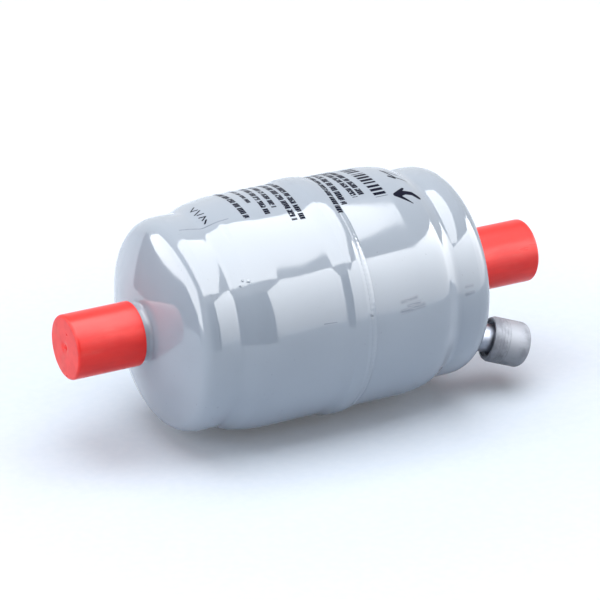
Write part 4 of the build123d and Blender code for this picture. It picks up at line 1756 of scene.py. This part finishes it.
# ------------------------------------------------------------------ marks on the shell
PRINT_ROWS = (
    PrintRow((57.9, 70.0), (57.1, 107.0), 2.0),
    PrintRow((63.2, 68.0), (61.9, 95.0), 1.4, 0.8),
    PrintRow((67.4, 68.0), (64.5, 107.0), 1.9),
    PrintRow((70.6, 68.0), (68.1, 103.0), 1.8),
    PrintRow((74.1, 66.0), (71.7, 114.5), 2.0),
    PrintRow((77.3, 66.0), (74.5, 115.0), 1.9),
    PrintRow((90.3, 68.0), (87.4, 116.5), 2.1),
    PrintRow((93.4, 68.0), (90.8, 111.0), 2.1),
    PrintRow((95.9, 68.0), (95.9, 107.5), 1.9),
    PrintRow((98.3, 68.0), (98.6, 107.0), 2.0),
    PrintRow((104.0, 74.0), (104.6, 110.5), 4.4, 2.1, 9.0, 1.1, 0.36),
)
FLOW_ARROW = (
    Stroke((109.6, 111.2), (113.4, 107.4), 0.95, 0.45),
    Stroke((109.6, 111.2), (113.6, 118.2), 0.95, 0.2),
    Stroke((110.6, 111.4), (112.8, 110.5), 1.1, 1.0),
    Stroke((112.8, 110.5), (115.4, 111.5), 1.0, 0.9),
    Stroke((115.4, 111.5), (117.2, 114.6), 0.9, 0.75),
)
LOOSE_STROKE = (
    Stroke((112.7, 86.8), (114.6, 96.7), 0.3, 0.3),
    Stroke((114.6, 96.7), (117.8, 100.4), 0.3, 0.2),
    Stroke((112.7, 86.8), (116.4, 94.0), 0.2, 0.2),
    Stroke((112.9, 95.0), (114.2, 97.4), 0.6, 0.45),
)
PEN_STROKES = (
    Stroke((46.9, 80.5), (45.0, 83.0), 0.3, 0.25),
    Stroke((45.0, 83.0), (46.7, 85.0), 0.25, 0.3),
    Stroke((46.9, 87.0), (44.7, 88.5), 0.3, 0.3),
    Stroke((45.2, 90.0), (46.9, 91.3), 0.3, 0.25),
    Stroke((44.9, 93.0), (46.6, 94.6), 0.3, 0.25),
    Stroke((46.6, 94.6), (45.0, 96.3), 0.25, 0.3),
    Stroke((45.9, 97.4), (44.8, 99.6), 0.3, 0.3),
)
RUBS = (
    Stroke((98.8, 166.6), (104.0, 165.6), 0.35, 0.45, 0.9),
    Stroke((98.6, 171.2), (106.4, 170.0), 0.45, 0.6, 0.9),
    Stroke((101.0, 169.0), (105.0, 168.4), 0.4, 0.5, 0.9),
    Stroke((124.3, 167.0), (126.6, 166.9), 0.35, 0.3, 0.6),
    Stroke((124.3, 171.0), (126.8, 170.6), 0.6, 0.4, 0.6),
    Stroke((86.9, 169.2), (87.5, 169.8), 0.4, 0.3, 0.2),
    Stroke((70.5, 168.9), (75.0, 169.3), 0.15, 0.1, 0.15),
    Stroke((36.2, 99.2), (44.1, 102.2), 0.2, 0.25, 0.2),
    Stroke((44.1, 102.2), (51.5, 103.6), 0.3, 0.15, 0.2),
)
DROPLETS = (
    Stroke((46.6, 139.8), (46.7, 140.0), 0.2, 0.2, 0.25),
    Stroke((48.1, 140.9), (48.5, 141.1), 0.3, 0.25, 0.3),
    Stroke((45.4, 142.0), (45.6, 142.4), 0.18, 0.18, 0.2),
)


def main() -> None:
    """Builds the drier and its studio."""
    logging.basicConfig(level=logging.INFO, format="%(name)s %(message)s")
    marks = FLOW_ARROW + LOOSE_STROKE + PEN_STROKES
    shell = Shell(enamel=GlossEnamel("shell_enamel", rows=PRINT_ROWS, marks=marks, rubs=RUBS, drops=DROPLETS))
    shell.build()
    SolderFitting("outlet", shell.outlet_apex, 1, Body.OUTLET_CAP).build()
    SolderFitting("inlet", shell.inlet_apex, -1, Body.INLET_CAP).build()
    AccessValve().build()
    FilterInside().build()
    Studio().build()


if __name__ == "__main__":
    main()
